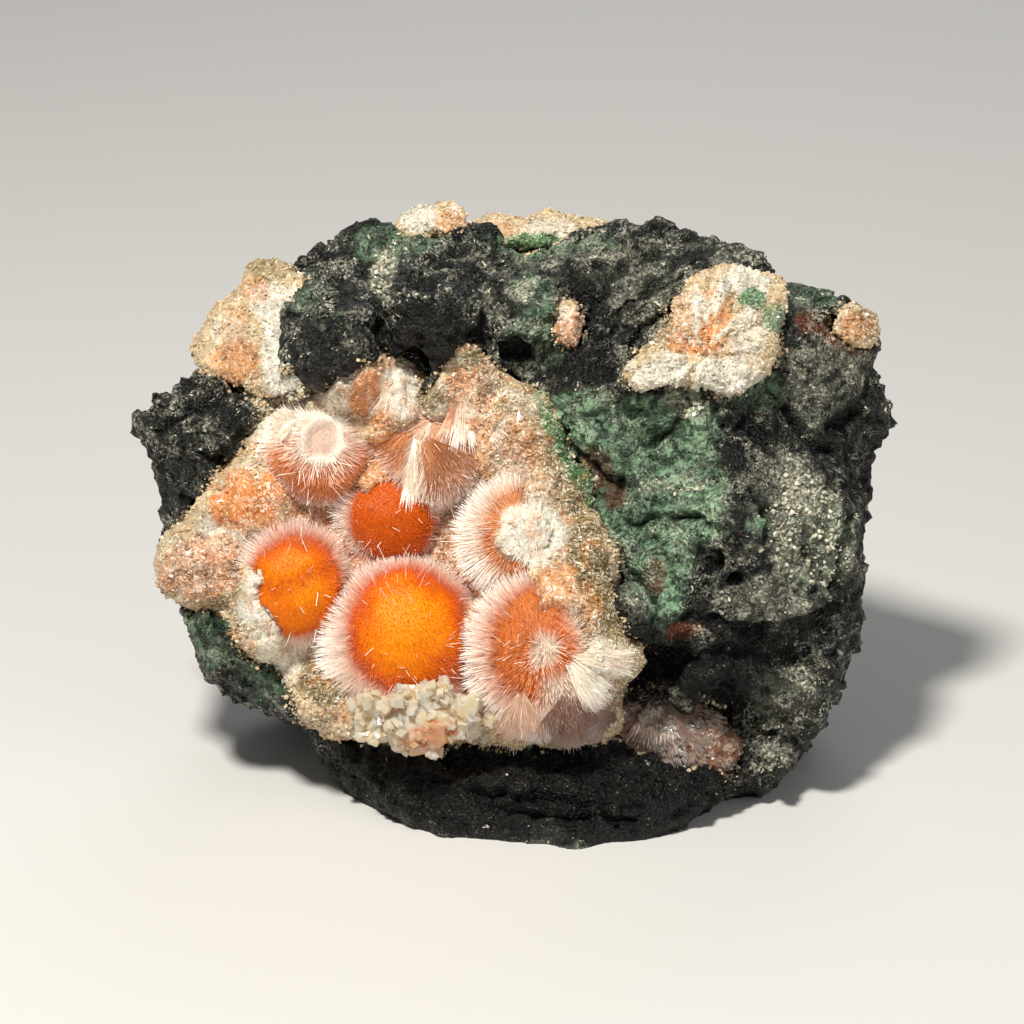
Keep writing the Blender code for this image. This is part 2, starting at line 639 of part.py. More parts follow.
def main():
    clear_scene()
    parts = bpy.data.collections.new("thomsonite specimen")
    cutters = bpy.data.collections.new("cutters")
    for collection in (parts, cutters):
        bpy.context.scene.collection.children.link(collection)
    block = make_block(parts)
    rock_out = surface_of(block)
    crust = make_crust(rock_out, parts, cutters)
    crust_socket = socket_for([crust], "crust_socket", CRUST_TRIANGLES, cutters)
    lip = make_lip_crystals(crust_socket, parts, cutters)
    finishes = {"zeolite_vein": "zeolite", "pocket_spray": "smoky_zeolite"}
    grown = [crust]
    for name, measures in PATCHES.items():
        grown.append(make_patch(name, *measures, rock_out, parts, finishes.get(name, "amygdule")))
    cut_away(block, socket_for([*grown, lip], "sockets", SOCKET_TRIANGLES, cutters))
    settle(block)
    for obj in [*parts.objects]:
        stand_up(obj.data)
    rest_on_table(block)
    centre_on_origin(parts.objects)


main()
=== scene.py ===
"""Thomsonite specimen: dark basalt whose vug is lined with orange balls of radiating needles.

The specimen is shaped face-on, in millimetres: across (x), up the face (up) and out towards the
viewer (out), stored as (x, -out, up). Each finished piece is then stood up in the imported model's
frame, where the face leans back from the upright.
"""

import math

import bmesh
import bpy
import numpy as np
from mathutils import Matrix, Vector, noise
from mathutils.bvhtree import BVHTree
from mathutils.kdtree import KDTree


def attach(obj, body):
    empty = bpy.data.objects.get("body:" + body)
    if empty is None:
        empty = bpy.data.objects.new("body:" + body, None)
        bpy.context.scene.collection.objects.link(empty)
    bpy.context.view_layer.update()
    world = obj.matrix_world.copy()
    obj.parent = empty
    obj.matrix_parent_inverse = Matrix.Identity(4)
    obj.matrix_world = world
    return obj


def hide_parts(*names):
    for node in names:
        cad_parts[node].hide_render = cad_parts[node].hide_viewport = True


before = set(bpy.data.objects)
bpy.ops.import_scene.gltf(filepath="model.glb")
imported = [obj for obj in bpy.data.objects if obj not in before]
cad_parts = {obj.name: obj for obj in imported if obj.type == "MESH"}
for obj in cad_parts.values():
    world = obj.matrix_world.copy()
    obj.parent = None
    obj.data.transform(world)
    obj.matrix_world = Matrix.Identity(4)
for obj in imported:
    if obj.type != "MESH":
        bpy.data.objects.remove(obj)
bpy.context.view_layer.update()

bl_info = {
    "name": "Thomsonite specimen",
    "version": (1, 0, 0),
    "blender": (4, 5, 0),
    "location": "View3D > Sidebar > Thomsonite",
    "description": "Builds a basalt block with a vug of thomsonite balls",
    "category": "Add Mesh",
}

FACE_LEAN = math.radians(22)
FACE_ORIGIN = np.array((-0.281, -2.897, 29.2))  # the face's origin in the frame, in millimetres
VIEW_DISTANCE = 503.0  # the face was measured from this far off, so near places looked larger
PHOTO = 1024  # pixels along a side of the photograph's frame
MM_PER_PIXEL = 0.118  # at the depth of the face's origin
PHOTO_CENTRE = (508, 523)  # where the photograph shows the face's origin
SENSOR = 36.0  # width of the camera's film, in millimetres
LIGHT_AIM = (0, 0, 0.03)  # where the lamps point, in metres

MOST_BLOCK_TRIANGLES = 172000
ROCK_EDGE = 34  # degrees past which an edge of the rock stays sharp
LIP_EDGE = 24  # the same on the clear crystals
VESICLES = 230  # small gas bubbles pressed in all over the block
DRAWN_BACK = 0.66  # share of a ball's radius to which the ground sinks under it
STRAY_REACH = 1.8  # how much further single needles reach, in millimetres
FAN_RINGS = 9  # rows of points in a fan's sheet
FAN_STEP = 6  # degrees between its rays
FAN_DROP = 3.0  # a sheet is cut where the crystals step back by more than this, in millimetres


def linear(red, green, blue):
    """A colour given on the usual 0 to 255 scale, as Blender's shaders want it."""
    share = [v / 255 for v in (red, green, blue)]
    return tuple(v / 12.92 if v <= 0.04045 else ((v + 0.055) / 1.055) ** 2.4 for v in share)


# Balls of the crust: across, up, out of centre, half width, half height, half depth (as the
# solids have them), which way the cap looks (across, up, out), profile, how strongly the middle
# of its cap is painted lighter as a painted highlight, or below zero how much painted shade
# darkens its orange
BALLS = {
    "great_ball": (-12.5, -13.8, 6.4, 10.4, 10.4, 10.2, (0.16, 0.12, 1.0), "capped", 1.0),
    "left_ball": (-25.4, -7.0, 5.2, 8.0, 8.0, 8.0, (0.06, -0.16, 1.0), "capped", 0.9),
    "deep_ball": (-14.4, 0.8, 3.4, 7.2, 7.2, 7.2, (0.22, -0.05, 1.0), "capped", -0.75),
    "split_ball": (4.4, -14.8, 11.8, 10.4, 10.4, 7.6, (0.05, 0.02, 1.0), "starred", -0.1),
    "white_disc": (1.0, -1.4, 11.2, 7.8, 7.8, 3.2, (0.16, 0.0, 1.0), "ringed", 0.0),
    "cup_ball": (-22.4, 8.4, 5.0, 6.7, 6.7, 7.2, (0.08, 0.34, 1.0), "cupped", 0.0),
    "fan_ball": (-8.6, 8.6, 4.6, 7.0, 7.0, 6.6, (-0.1, 0.75, 1.0), "sprayed", 0.0),
}

# How a ball changes from its cap's middle outwards: angle in degrees, core's share of the
# radius, orange, white, orange left at the needles' tips, how far the needles lie over
PROFILES = {
    "capped": [
        (0, 0.955, 1.0, 0.0, 1.0, 0.0), (32, 0.95, 1.0, 0.0, 0.95, 0.1), (46, 0.93, 1.0, 0.0, 0.7, 0.15),
        (54, 0.89, 0.8, 0.0, 0.4, 0.2), (62, 0.83, 0.45, 0.05, 0.15, 0.25), (77, 0.74, 0.1, 0.1, 0.0, 0.15),
        (110, 0.68, 0.0, 0.1, 0.0, 0.0), (180, 0.62, 0.0, 0.0, 0.0, 0.0),
    ],
    "starred": [
        (0, 0.84, 0.0, 0.8, 0.0, 0.1), (8, 0.84, 0.1, 0.6, 0.0, 0.3), (13, 0.87, 1.0, 0.0, 0.5, 0.25),
        (36, 0.9, 1.0, 0.0, 0.75, 0.15), (50, 0.86, 0.9, 0.0, 0.3, 0.25), (58, 0.78, 0.3, 0.0, 0.0, 0.35),
        (85, 0.7, 0.0, 0.1, 0.0, 0.1), (180, 0.6, 0.0, 0.0, 0.0, 0.0),
    ],
    "ringed": [
        (0, 0.94, 0.0, 1.0, 0.0, 0.0), (25, 0.92, 0.0, 0.9, 0.0, 0.2), (30, 0.88, 0.9, 0.05, 0.7, 0.6),
        (47, 0.85, 0.8, 0.05, 0.6, 0.85), (52, 0.8, 0.1, 0.7, 0.0, 0.9), (74, 0.68, 0.0, 0.7, 0.0, 0.6),
        (90, 0.64, 0.0, 0.2, 0.0, 0.3), (180, 0.6, 0.0, 0.0, 0.0, 0.0),
    ],
    "cupped": [
        (0, 0.7, 0.0, 0.5, 0.0, 0.0), (20, 0.74, 0.0, 0.4, 0.0, 0.0), (26, 0.92, 0.0, 1.0, 0.0, 0.7),
        (31, 0.91, 0.1, 0.3, 0.1, 0.8), (42, 0.9, 0.5, 0.1, 0.3, 0.9), (52, 0.86, 1.0, 0.0, 0.8, 0.8),
        (70, 0.82, 0.7, 0.0, 0.5, 0.6), (84, 0.78, 0.1, 0.0, 0.0, 0.4), (110, 0.7, 0.0, 0.1, 0.0, 0.1),
        (180, 0.6, 0.0, 0.0, 0.0, 0.0),
    ],
    "sprayed": [
        (0, 0.84, 0.4, 0.4, 0.3, 0.6), (20, 0.86, 0.7, 0.1, 0.5, 0.9), (60, 0.84, 0.9, 0.0, 0.5, 0.9),
        (85, 0.78, 0.6, 0.0, 0.2, 0.8), (110, 0.7, 0.0, 0.2, 0.0, 0.4), (180, 0.6, 0.0, 0.0, 0.0, 0.0),
    ],
}

# How far a ball's orange turns to tan
TAN = {"split_ball": 0.45, "cup_ball": 0.5, "fan_ball": 0.7, "white_disc": 0.6}

# Balls whose heart is creased into two lobes: which way the crease faces (across, up)
CREASES = {"left_ball": (-0.29, 0.96)}

# Where sugary crust buries a ball: direction (across, up), how much of the side stays bare, angle
# from the cap at which it starts, and angle within which it hides the cap's middle
BURIED = {
    "left_ball": (-0.85, -0.5, 0.62, 34, 0),
    "split_ball": (0.82, 0.57, 0.35, 24, 0),
    "white_disc": (0.95, 0.2, 0.25, 22, 26),
    "cup_ball": (0.45, 0.9, 0.6, 36, 0),
    "fan_ball": (0.0, 1.0, 0.1, 8, 0),
    "deep_ball": (0.1, 1.0, 0.6, 40, 0),
}

# Fans of fibres lying on the crystals: apex (across, up), first and last angle in degrees, inner
# and outer radius, orange, white, smoky (its darkening partly painted shade where the fan lies in shadow)
FANS = [
    ((-10.9, 11.4), -101, -87, 0.8, 8.0, 0.0, 1.0),
    ((-10.4, 10.6), -84, -22, 0.8, 8.2, 0.8, 0.0, 0.4),
    ((-11.6, 11.2), -150, -102, 0.5, 5.2, 0.8, 0.0, 0.2),
    ((-5.4, 15.8), -104, -74, 0.4, 5.6, 0.1, 0.8),
    ((-5.4, 15.8), -120, -104, 0.4, 5.0, 0.4, 0.2),
    ((-4.6, 15.0), -66, -40, 0.6, 5.2, 0.7, 0.1),
    ((-13.4, 17.8), -125, -60, 0.3, 4.2, 0.05, 0.95),
    ((6.0, -14.8), -68, -34, 2.0, 6.6, 0.0, 1.0),
    ((5.4, -15.6), -16, 4, 2.2, 8.0, 0.0, 0.9),
    ((7.4, -19.0), -128, -52, 1.4, 6.6, 0.1, 0.0, 0.8),
    ((1.6, -19.4), -125, -60, 0.6, 6.2, 0.0, 0.3, 0.15),
    ((17.0, -20.6), -165, -8, 0.4, 7.2, 0.0, 0.3, 0.85),
    ((17.4, -20.4), -125, -60, 0.2, 4.6, 0.0, 0.8, 0.1),
    ((-24.6, 12.6), 160, 235, 0.3, 3.4, 0.15, 0.7),
    ((3.4, -1.2), 80, 290, 0.2, 3.2, 0.05, 0.85),
]

# Where colours lie on the crust's ground: (across, up, half width, half height, turn, strength)
CRUST_TINTS = {
    "orange": [
        (-31.0, 2.6, 4.6, 3.8, 20, 0.95), (-27.4, 4.4, 3.0, 2.6, 0, 0.8), (5.6, -7.6, 2.8, 3.2, 0, 0.75),
        (-9.2, -25.0, 3.4, 2.0, 0, 1.0), (-15.5, 13.6, 2.2, 3.4, 0, 0.55), (-33.8, -2.6, 2.6, 1.8, 0, 0.5),
        (-14.2, 8.4, 3.6, 2.6, 0, 0.7), (-5.6, 15.0, 1.6, 4.4, 0, 0.3), (1.4, 10.0, 1.8, 3.4, 15, 0.45),
        (9.6, -9.8, 1.8, 3.4, 15, 0.4), (-20.4, -17.4, 3.0, 2.0, -20, 0.45), (-12.0, 5.2, 7.0, 3.0, 0, 0.7),
        (-17.0, 15.0, 1.8, 3.0, -15, 0.9), (-5.4, 8.0, 4.6, 4.6, 0, 0.5),
    ],
    "pink": [
        (-36.2, -5.2, 4.8, 4.2, 0, 0.85), (-20.0, -2.0, 8.0, 7.0, 0, 0.8), (-4.0, -6.6, 6.0, 8.0, 0, 0.9),
        (3.4, 7.4, 4.0, 8.6, 20, 0.4), (8.6, -4.0, 3.4, 9.0, 12, 0.3), (5.6, -22.8, 7.0, 3.6, 0, 0.9),
        (-4.4, 15.6, 3.0, 6.6, 0, 0.65), (-13.8, 15.6, 4.2, 5.0, 0, 0.6), (-16.0, -22.2, 6.0, 3.0, 0, 0.4),
    ],
    "white": [
        (-28.8, -9.6, 3.6, 4.4, 0, 1.0), (-26.6, -15.2, 3.0, 4.4, 0, 0.8), (-33.0, -1.4, 3.6, 2.2, 30, 0.6),
        (9.8, -16.0, 4.6, 2.6, -8, 1.0), (12.4, -12.6, 2.4, 4.4, 10, 0.5), (-19.0, 15.8, 5.0, 2.6, 0, 0.7),
        (5.4, 0.0, 3.0, 5.0, 20, 0.35), (-14.0, -24.4, 6.0, 1.8, 0, 0.5), (2.8, -1.4, 4.8, 4.0, 0, 1.0),
        (-13.0, 15.6, 2.6, 3.2, 0, 0.9), (-23.4, 15.8, 3.4, 2.2, 0, 0.8), (-5.6, 12.6, 1.2, 3.4, 0, 0.5),
        (-29.6, 12.6, 3.0, 3.0, 0, 0.7), (-34.6, -0.2, 2.4, 1.6, 30, 0.9), (2.4, 13.6, 2.6, 2.2, 0, 0.4),
        (-36.4, -4.6, 4.2, 3.8, 0, 0.12), (-24.0, 16.4, 5.0, 2.0, 0, 0.8), (0.0, 8.6, 2.0, 5.0, 10, 0.35),
        (6.6, -8.4, 2.0, 3.4, 30, 0.5), (-8.6, 13.4, 1.6, 3.0, 0, 0.5),
    ],
    "green": [
        (5.8, 12.4, 2.0, 3.6, 25, 0.8), (8.0, 8.0, 2.2, 4.0, 28, 0.85), (9.8, 4.0, 1.5, 3.0, 20, 0.7),
        (3.6, 15.4, 1.4, 1.6, 0, 0.5), (-5.0, 19.6, 2.0, 1.2, 0, 0.4),
    ],
    "gold": [
        (9.8, -5.0, 2.6, 7.8, 14, 0.9), (12.6, -10.4, 2.4, 5.0, 20, 0.9), (7.2, 5.0, 2.6, 8.0, 16, 0.8),
        (1.6, 12.4, 3.4, 4.4, 0, 0.45), (9.0, -12.6, 2.4, 2.4, 0, 0.5), (-9.2, 14.6, 1.6, 2.0, 0, 0.8),
        (-22.0, 15.8, 4.4, 1.2, -10, 0.5), (-22.2, -19.0, 3.4, 2.4, -40, 0.9),
        (-17.4, 19.2, 4.0, 1.4, 15, 0.5), (-3.4, 19.4, 2.2, 2.4, 0, 0.4),
    ],
}

# Lumps and hollows of the rock's face: across, up, half width, half height, turn, height in mm
RELIEF = [
    (-20.4, 20.6, 5.2, 6.0, 0, 1.2), (-9.8, 24.6, 6.2, 5.0, -10, 1.2), (-12.6, 22.0, 2.4, 2.4, 0, 0.6),
    (-6.0, 27.2, 2.8, 2.2, 0, 0.6), (-8.6, 18.4, 1.9, 3.6, -8, 0.9), (9.4, 28.9, 3.2, 2.4, 0, 1.2),
    (1.0, 23.6, 3.0, 2.6, 0, 1.0), (-20.6, 30.6, 3.4, 2.2, 25, 0.8), (-23.6, 27.6, 2.2, 2.6, 0, 0.7),
    (28.6, 10.8, 3.4, 2.6, 30, 0.8), (36.0, 5.4, 4.0, 3.0, -30, 0.7), (40.4, -1.0, 1.6, 8.0, 4, 0.8),
    (13.6, -10.4, 3.6, 3.4, -20, 1.5), (17.6, -12.6, 3.4, 1.8, 10, 1.0), (22.8, -17.6, 3.4, 1.6, 25, 1.2),
    (25.0, -13.8, 2.6, 1.6, 0, 0.8), (33.2, -20.4, 3.0, 1.6, 0, 0.9), (31.4, -26.8, 2.2, 1.8, 0, 1.0),
    (36.6, -18.0, 2.0, 2.6, 0, 0.7), (-36.0, 9.6, 6.0, 1.6, 35, 0.6), (-33.0, 5.0, 6.0, 1.4, -38, 0.8),
    (-36.4, -0.6, 4.0, 1.4, -38, 0.7), (-31.0, 13.0, 4.0, 2.0, 0, 0.6), (-34.0, -12.0, 2.6, 2.4, 0, 0.8),
    (-30.0, -17.6, 2.4, 1.8, 0, 0.8), (-25.6, -20.8, 1.7, 1.9, 0, 0.9), (12.8, 9.0, 4.2, 4.0, 0, 0.8),
    (19.4, 6.6, 4.6, 2.6, 10, 0.5), (21.8, 10.8, 2.6, 3.0, 0, 0.7), (18.4, -3.6, 4.0, 3.4, 0, 0.5),
    (6.6, 9.8, 2.0, 3.0, 20, 0.6), (2.0, -31.4, 8.0, 0.8, -6, 0.8), (6.4, -33.6, 8.0, 0.7, -5, 0.8),
    (14.6, -31.8, 3.6, 1.6, 20, 0.9), (9.0, -35.4, 7.0, 0.6, -3, 0.6), (-10.8, 18.8, 1.6, 2.6, 20, -1.8),
    (-6.8, 14.8, 1.0, 2.4, 0, -1.2), (1.4, 20.4, 1.8, 1.5, -20, -2.0), (4.0, 13.6, 0.9, 0.9, 0, -1.5),
    (39.9, 12.2, 2.6, 1.5, 30, -1.6), (27.0, -6.8, 1.1, 1.05, 0, -2.2), (9.6, 6.6, 2.4, 2.6, 30, -0.9),
    (13.0, 4.0, 1.6, 1.6, 0, -0.7), (15.4, 12.6, 1.2, 1.0, 0, -0.8), (7.4, 11.2, 0.9, 0.9, 0, -0.8),
    (16.4, -16.4, 4.6, 2.0, 10, -1.6), (24.0, -21.6, 4.4, 1.2, -10, -1.2), (30.6, -14.6, 5.0, 2.6, -10, -0.9),
    (0.0, -27.6, 12.0, 1.2, -4, -1.0), (3.0, -32.6, 9.0, 0.6, -6, -0.9), (8.0, -34.6, 8.0, 0.5, -4, -0.7),
    (-27.2, 15.2, 3.4, 3.2, 0, 1.2), (22.0, 31.0, 1.6, 0.9, 20, -0.9),
]

# Where the rock is painted darker, as painted shade under the overhangs and along the base and as darker rock
# on the lumps: across, up, half width, half height, turn, strength
BLACK = [
    (4.0, -31.6, 28.0, 6.6, -4, 1.0), (26.0, -17.8, 7.0, 4.4, 0, 0.85), (16.0, -15.6, 6.4, 4.4, 0, 0.95),
    (-38.4, 5.0, 5.0, 6.0, 0, 0.4), (13.0, 8.4, 5.6, 3.6, -10, 0.3), (38.0, -8.0, 3.0, 7.0, 10, 0.35),
    (-32.6, -13.6, 3.0, 2.6, 0, 0.4), (-9.0, 21.6, 5.6, 4.8, 0, 0.7), (-20.6, 17.6, 4.6, 3.4, 0, 0.65),
    (8.6, 19.0, 4.6, 5.0, 0, 0.4), (9.4, 28.4, 3.0, 2.4, 0, 0.5), (-30.4, -18.4, 5.4, 2.4, 20, 0.5),
    (39.6, 10.6, 3.6, 4.4, 0, 0.5), (11.0, 5.2, 3.4, 3.4, 0, 0.5), (-31.6, 8.6, 3.6, 2.4, 0, 0.35),
    (30.6, 12.4, 5.0, 3.0, -30, 0.35),
]

# Cracks and creases: depth, half width, then their course (across, up)
CRACKS = [
    (0.9, 0.45, [(14.4, -0.1), (15.8, -0.2), (18.1, 0.5), (20.8, 0.6), (22.8, 0.5)]),
    (0.7, 0.4, [(22.1, -5.9), (23.5, -5.0), (24.8, -3.5)]),
    (1.1, 0.5, [(39.8, 0.7), (39.4, -2.2), (38.6, -6.3), (38.1, -9.2), (37.4, -10.9)]),
    (0.9, 0.45, [(7.1, 9.3), (8.9, 7.0), (11.0, 5.4), (13.6, 5.0)]),
    (0.9, 0.45, [(16.4, 9.6), (17.7, 10.3), (20.5, 11.7)]),
    (0.9, 0.5, [(27.7, 12.0), (29.4, 10.6), (31.6, 8.1)]),
    (0.9, 0.5, [(12.4, -3.4), (13.8, -4.8), (17.1, -8.5)]),
    (1.1, 0.6, [(-22.6, 14.6), (-20.4, 13.9), (-17.6, 14.4), (-15.2, 17.0)]),
    (1.1, 0.6, [(-15.4, 28.0), (-15.6, 25.0), (-15.2, 22.0), (-14.4, 18.6)]),
    (0.9, 0.6, [(-15.0, 28.6), (-9.4, 30.4), (-3.2, 29.0), (-2.8, 25.0), (-4.6, 20.6)]),
    (1.0, 0.5, [(-36.7, 8.5), (-34.4, 7.2), (-32.1, 5.0)]),
    (0.9, 0.5, [(-39.0, 3.6), (-36.6, 1.4), (-34.4, -1.6)]),
    (0.8, 0.5, [(-41.4, 11.0), (-36.0, 13.6), (-32.0, 16.6)]),
    (0.7, 0.4, [(11.6, 22.6), (13.4, 24.8), (15.4, 26.4), (20.0, 29.4)]),
    (0.8, 0.4, [(14.4, 20.6), (16.0, 22.8), (18.0, 24.6)]),
    (0.6, 0.4, [(9.0, 24.6), (11.4, 27.6), (14.0, 30.5), (18.0, 32.6)]),
    (0.6, 0.4, [(16.0, 27.6), (20.4, 31.4), (25.0, 33.0)]),
    (1.0, 0.7, [(17.1, -11.6), (24.8, -11.5), (28.8, -13.6), (34.7, -11.6), (38.7, -9.9)]),
    (0.8, 0.5, [(21.4, -16.4), (24.0, -16.2), (27.0, -15.6)]),
    (0.8, 0.4, [(29.0, 4.0), (31.0, 1.0), (30.4, -2.4)]),
    (0.8, 0.4, [(33.0, 12.8), (35.6, 9.2), (38.4, 8.6)]),
    (0.8, 0.5, [(-35.6, -8.4), (-33.0, -14.6), (-28.6, -15.8)]),
]

# Where colours lie on the block's face: (across, up, half width, half height, turn, strength)
BLOCK_TINTS = {
    "celadonite": [
        (8.6, 10.6, 5.6, 5.4, 0, 1.0), (16.4, 9.2, 7.6, 5.8, 0, 1.0), (21.0, 9.8, 4.2, 6.6, 0, 0.95),
        (19.6, 1.8, 6.4, 4.6, -20, 0.95), (13.6, 1.4, 5.4, 5.6, 0, 0.8), (18.0, -5.0, 4.4, 4.4, 0, 0.95),
        (18.6, -9.8, 2.4, 3.0, 0, 0.8), (24.0, 3.8, 2.6, 3.0, 0, 0.6), (7.0, 4.6, 3.0, 5.4, 0, 0.55),
        (4.0, 21.8, 4.4, 4.0, 0, 0.6), (-2.4, 15.2, 2.6, 3.2, 0, 0.75), (2.8, 27.6, 3.2, 2.0, 0, 0.35),
        (-12.6, 33.6, 6.4, 2.4, 10, 0.6), (5.0, 33.0, 8.0, 1.8, 0, 0.5), (29.6, 15.6, 3.4, 2.6, 0, 0.65),
        (29.0, 27.0, 3.6, 2.2, 0, 0.6), (29.6, -0.2, 1.6, 1.2, 0, 0.6), (-33.6, -13.0, 5.0, 4.6, 0, 0.55),
        (-28.8, -19.0, 3.6, 2.6, 0, 0.4), (36.0, 27.0, 4.6, 1.8, -15, 0.4), (-30.2, -17.6, 1.6, 1.4, 0, 0.8),
        (36.6, -2.6, 4.4, 6.4, 0, 0.28), (12.0, -2.0, 3.0, 3.6, 0, 0.6), (-24.0, 27.2, 3.0, 2.6, 0, 0.3),
    ],
    "pale": [
        (21.0, 14.6, 2.6, 2.2, 0, 0.9), (19.6, 4.4, 4.6, 1.1, 4, 0.8), (-14.6, 29.8, 1.5, 3.4, -20, 0.9),
        (1.6, 27.6, 2.0, 1.6, 0, 0.7), (40.6, 19.0, 2.8, 3.0, 0, 0.6), (37.0, 16.6, 3.0, 2.0, 0, 0.4),
        (35.6, -1.4, 5.4, 8.4, 10, 0.8), (36.4, 16.4, 4.8, 5.2, 0, 0.4), (15.0, 29.0, 8.0, 3.4, -20, 0.48),
        (19.6, 25.4, 3.2, 5.6, -40, 0.4), (33.0, -20.6, 4.4, 4.0, 0, 0.3), (31.0, -8.8, 5.6, 3.4, 0, 0.5),
        (32.0, 5.0, 4.8, 4.8, 0, 0.32), (15.4, 28.2, 4.6, 5.0, 0, 0.5), (31.6, -20.0, 2.8, 1.8, 0, 0.4),
        (31.4, -26.8, 2.4, 1.0, 0, 0.5), (-23.6, 15.0, 3.0, 1.6, 0, 0.5), (-27.2, 15.4, 3.6, 3.4, 0, 1.0),
        (3.0, 31.4, 4.0, 1.2, 0, 0.35), (12.6, 30.6, 5.0, 1.2, -18, 0.3), (-34.0, -15.4, 2.0, 2.0, 0, 0.35),
        (15.0, -8.8, 2.0, 3.0, 30, 0.4), (24.6, 32.0, 5.0, 1.2, -10, 0.35),
    ],
    "rust": [
        (40.6, 22.6, 3.6, 2.6, 0, 0.7), (10.0, 6.4, 2.4, 3.0, 0, 0.55), (12.6, 3.4, 1.8, 1.8, 0, 0.6),
        (17.4, -6.4, 1.4, 2.4, 0, 0.5), (20.8, -12.6, 2.6, 1.2, 10, 0.8), (36.0, 23.8, 2.6, 1.4, 0, 0.5),
    ],
}

# Crystals in the rock's hollows and vein, and where colours lie on them, given in the same way
PATCHES = {
    "zeolite_vein": {
        "orange": [
            (-32.0, 19.0, 3.0, 2.6, 30, 0.7), (-29.6, 27.4, 1.8, 1.8, 0, 0.45),
            (-32.0, 23.4, 1.6, 2.6, -30, 0.35),
        ],
        "white": [
            (-26.0, 20.4, 3.2, 6.4, 0, 1.0), (-27.4, 25.8, 3.0, 3.2, 0, 0.85),
            (-33.0, 22.6, 2.0, 2.0, 0, 0.5),
        ],
        "gold": [(-28.0, 30.0, 3.0, 1.6, 0, 0.6)],
    },
    "right_amygdule": {
        "orange": [
            (22.8, 21.6, 2.4, 2.2, 20, 0.9), (24.0, 25.2, 2.6, 2.6, 0, 0.7), (20.2, 21.2, 2.0, 1.4, 30, 0.5),
        ],
        "pink": [(22.6, 22.8, 4.8, 3.8, 0, 0.4)],
        "gold": [(17.6, 22.4, 2.0, 4.0, 0, 0.3)],
        "white": [
            (17.8, 17.2, 3.6, 2.0, 20, 0.9), (26.0, 17.2, 4.2, 2.6, 0, 0.9), (28.0, 28.4, 3.0, 1.8, 0, 0.9),
            (28.0, 21.6, 2.4, 2.6, 0, 0.6),
        ],
        "green": [(28.6, 26.4, 1.6, 1.4, 0, 0.9), (31.4, 24.0, 1.8, 1.8, 0, 0.7)],
    },
    "ridge_amygdule_left": {
        "white": [(-10.2, 35.8, 2.8, 1.6, 0, 0.9)],
        "orange": [(-6.8, 35.6, 2.0, 1.2, 0, 0.4)],
    },
    "ridge_amygdule_right": {
        "orange": [(-1.6, 34.6, 2.0, 1.0, 0, 0.4), (11.0, 33.8, 2.4, 1.0, 0, 0.35)],
        "white": [(5.0, 34.8, 3.4, 1.2, 0, 0.6)],
        "green": [(3.0, 33.2, 4.0, 1.0, 0, 0.9)],
    },
    "small_amygdule": {"pink": [(7.2, 23.0, 1.6, 2.6, 0, 0.7)], "white": [(6.6, 24.8, 1.2, 1.2, 0, 0.6)]},
    "edge_amygdule": {"orange": [(41.0, 23.0, 2.2, 1.8, 0, 0.55)], "gold": [(42.0, 24.4, 2.0, 1.0, 0, 0.6)]},
    "pocket_spray": {
        "pink": [(24.6, -26.4, 3.6, 3.0, 30, 0.5), (15.6, -25.8, 2.4, 2.4, 0, 0.4)],
        "white": [(18.6, -24.0, 4.0, 2.8, 0, 0.4)],
    },
}

# Single places: an apex (across, up), and patches given like those above
RAY_APEX = (23.4, 19.8)  # where the right bubble's blades meet
LIP_ORANGE = (-8.6, -25.4, 3.4, 2.2, 0, 0.55)  # the orange patch on the clear crystals
STREAKS = (16.0, 24.0, 9.0, 8.0, 35)  # where the rock is streaked
BRIDGE = (-27.2, 15.4, 3.4, 3.4, 0)  # where sugar crosses the rock from the vug to the vein
CUT_FACE = (2.4, -1.4, 4.6, 4.2, 0)  # the white disc's broken middle, smoother than the crust

TINT_NAMES = ("orange", "pink", "mauve", "white", "gold", "green")


# ---- places -------------------------------------------------------------------------------
def read_points(mesh, what="co"):
    values = np.empty(len(mesh.vertices) * 3, np.float32)
    mesh.vertices.foreach_get(what, values)
    return values.reshape(-1, 3).astype(float)


def write_points(mesh, points):
    mesh.vertices.foreach_set("co", points.astype(np.float32).ravel())
    mesh.update()


def to_face(world):
    """From metres in the frame to (x, -out, up) on the face, in millimetres."""
    p = world * 1000 - FACE_ORIGIN
    c, s = math.cos(FACE_LEAN), math.sin(FACE_LEAN)
    out = p[:, 2] * s - p[:, 1] * c
    up = p[:, 1] * s + p[:, 2] * c
    near = 1 - out / VIEW_DISTANCE
    return np.column_stack([p[:, 0] / near, -out, up / near])


def to_frame(face):
    """From (x, -out, up) on the face, in millimetres, to metres in the frame."""
    out = -face[:, 1]
    near = 1 - out / VIEW_DISTANCE
    c, s = math.cos(FACE_LEAN), math.sin(FACE_LEAN)
    up = face[:, 2] * near
    p = np.column_stack([face[:, 0] * near, up * s - out * c, up * c + out * s])
    return (p + FACE_ORIGIN) / 1000


def ellipse(points, patch):
    """Squared distance of each point from a turned patch's middle, 1 on its edge."""
    across, up, half_width, half_height, turn = patch[:5]
    c, s = math.cos(math.radians(turn)), math.sin(math.radians(turn))
    u = ((points[:, 0] - across) * c + (points[:, 2] - up) * s) / half_width
    v = ((points[:, 2] - up) * c - (points[:, 0] - across) * s) / half_height
    return u * u + v * v


def smooth_step(low, high, value):
    t = np.clip((value - low) / (high - low), 0, 1)
    return t * t * (3 - 2 * t)


def ripple(points, size, seed=0.0):
    """Smooth noise, about -1 to 1, whose lumps are about this many millimetres apart."""
    shift = Vector((seed * 7.3, seed * 3.1, seed * 5.7))
    return np.array([noise.noise(Vector(p) / size + shift) for p in points]) * 1.6


def point_tree(points):
    tree = KDTree(len(points))
    for number, place in enumerate(points):
        tree.insert(place, number)
    tree.balance()
    return tree


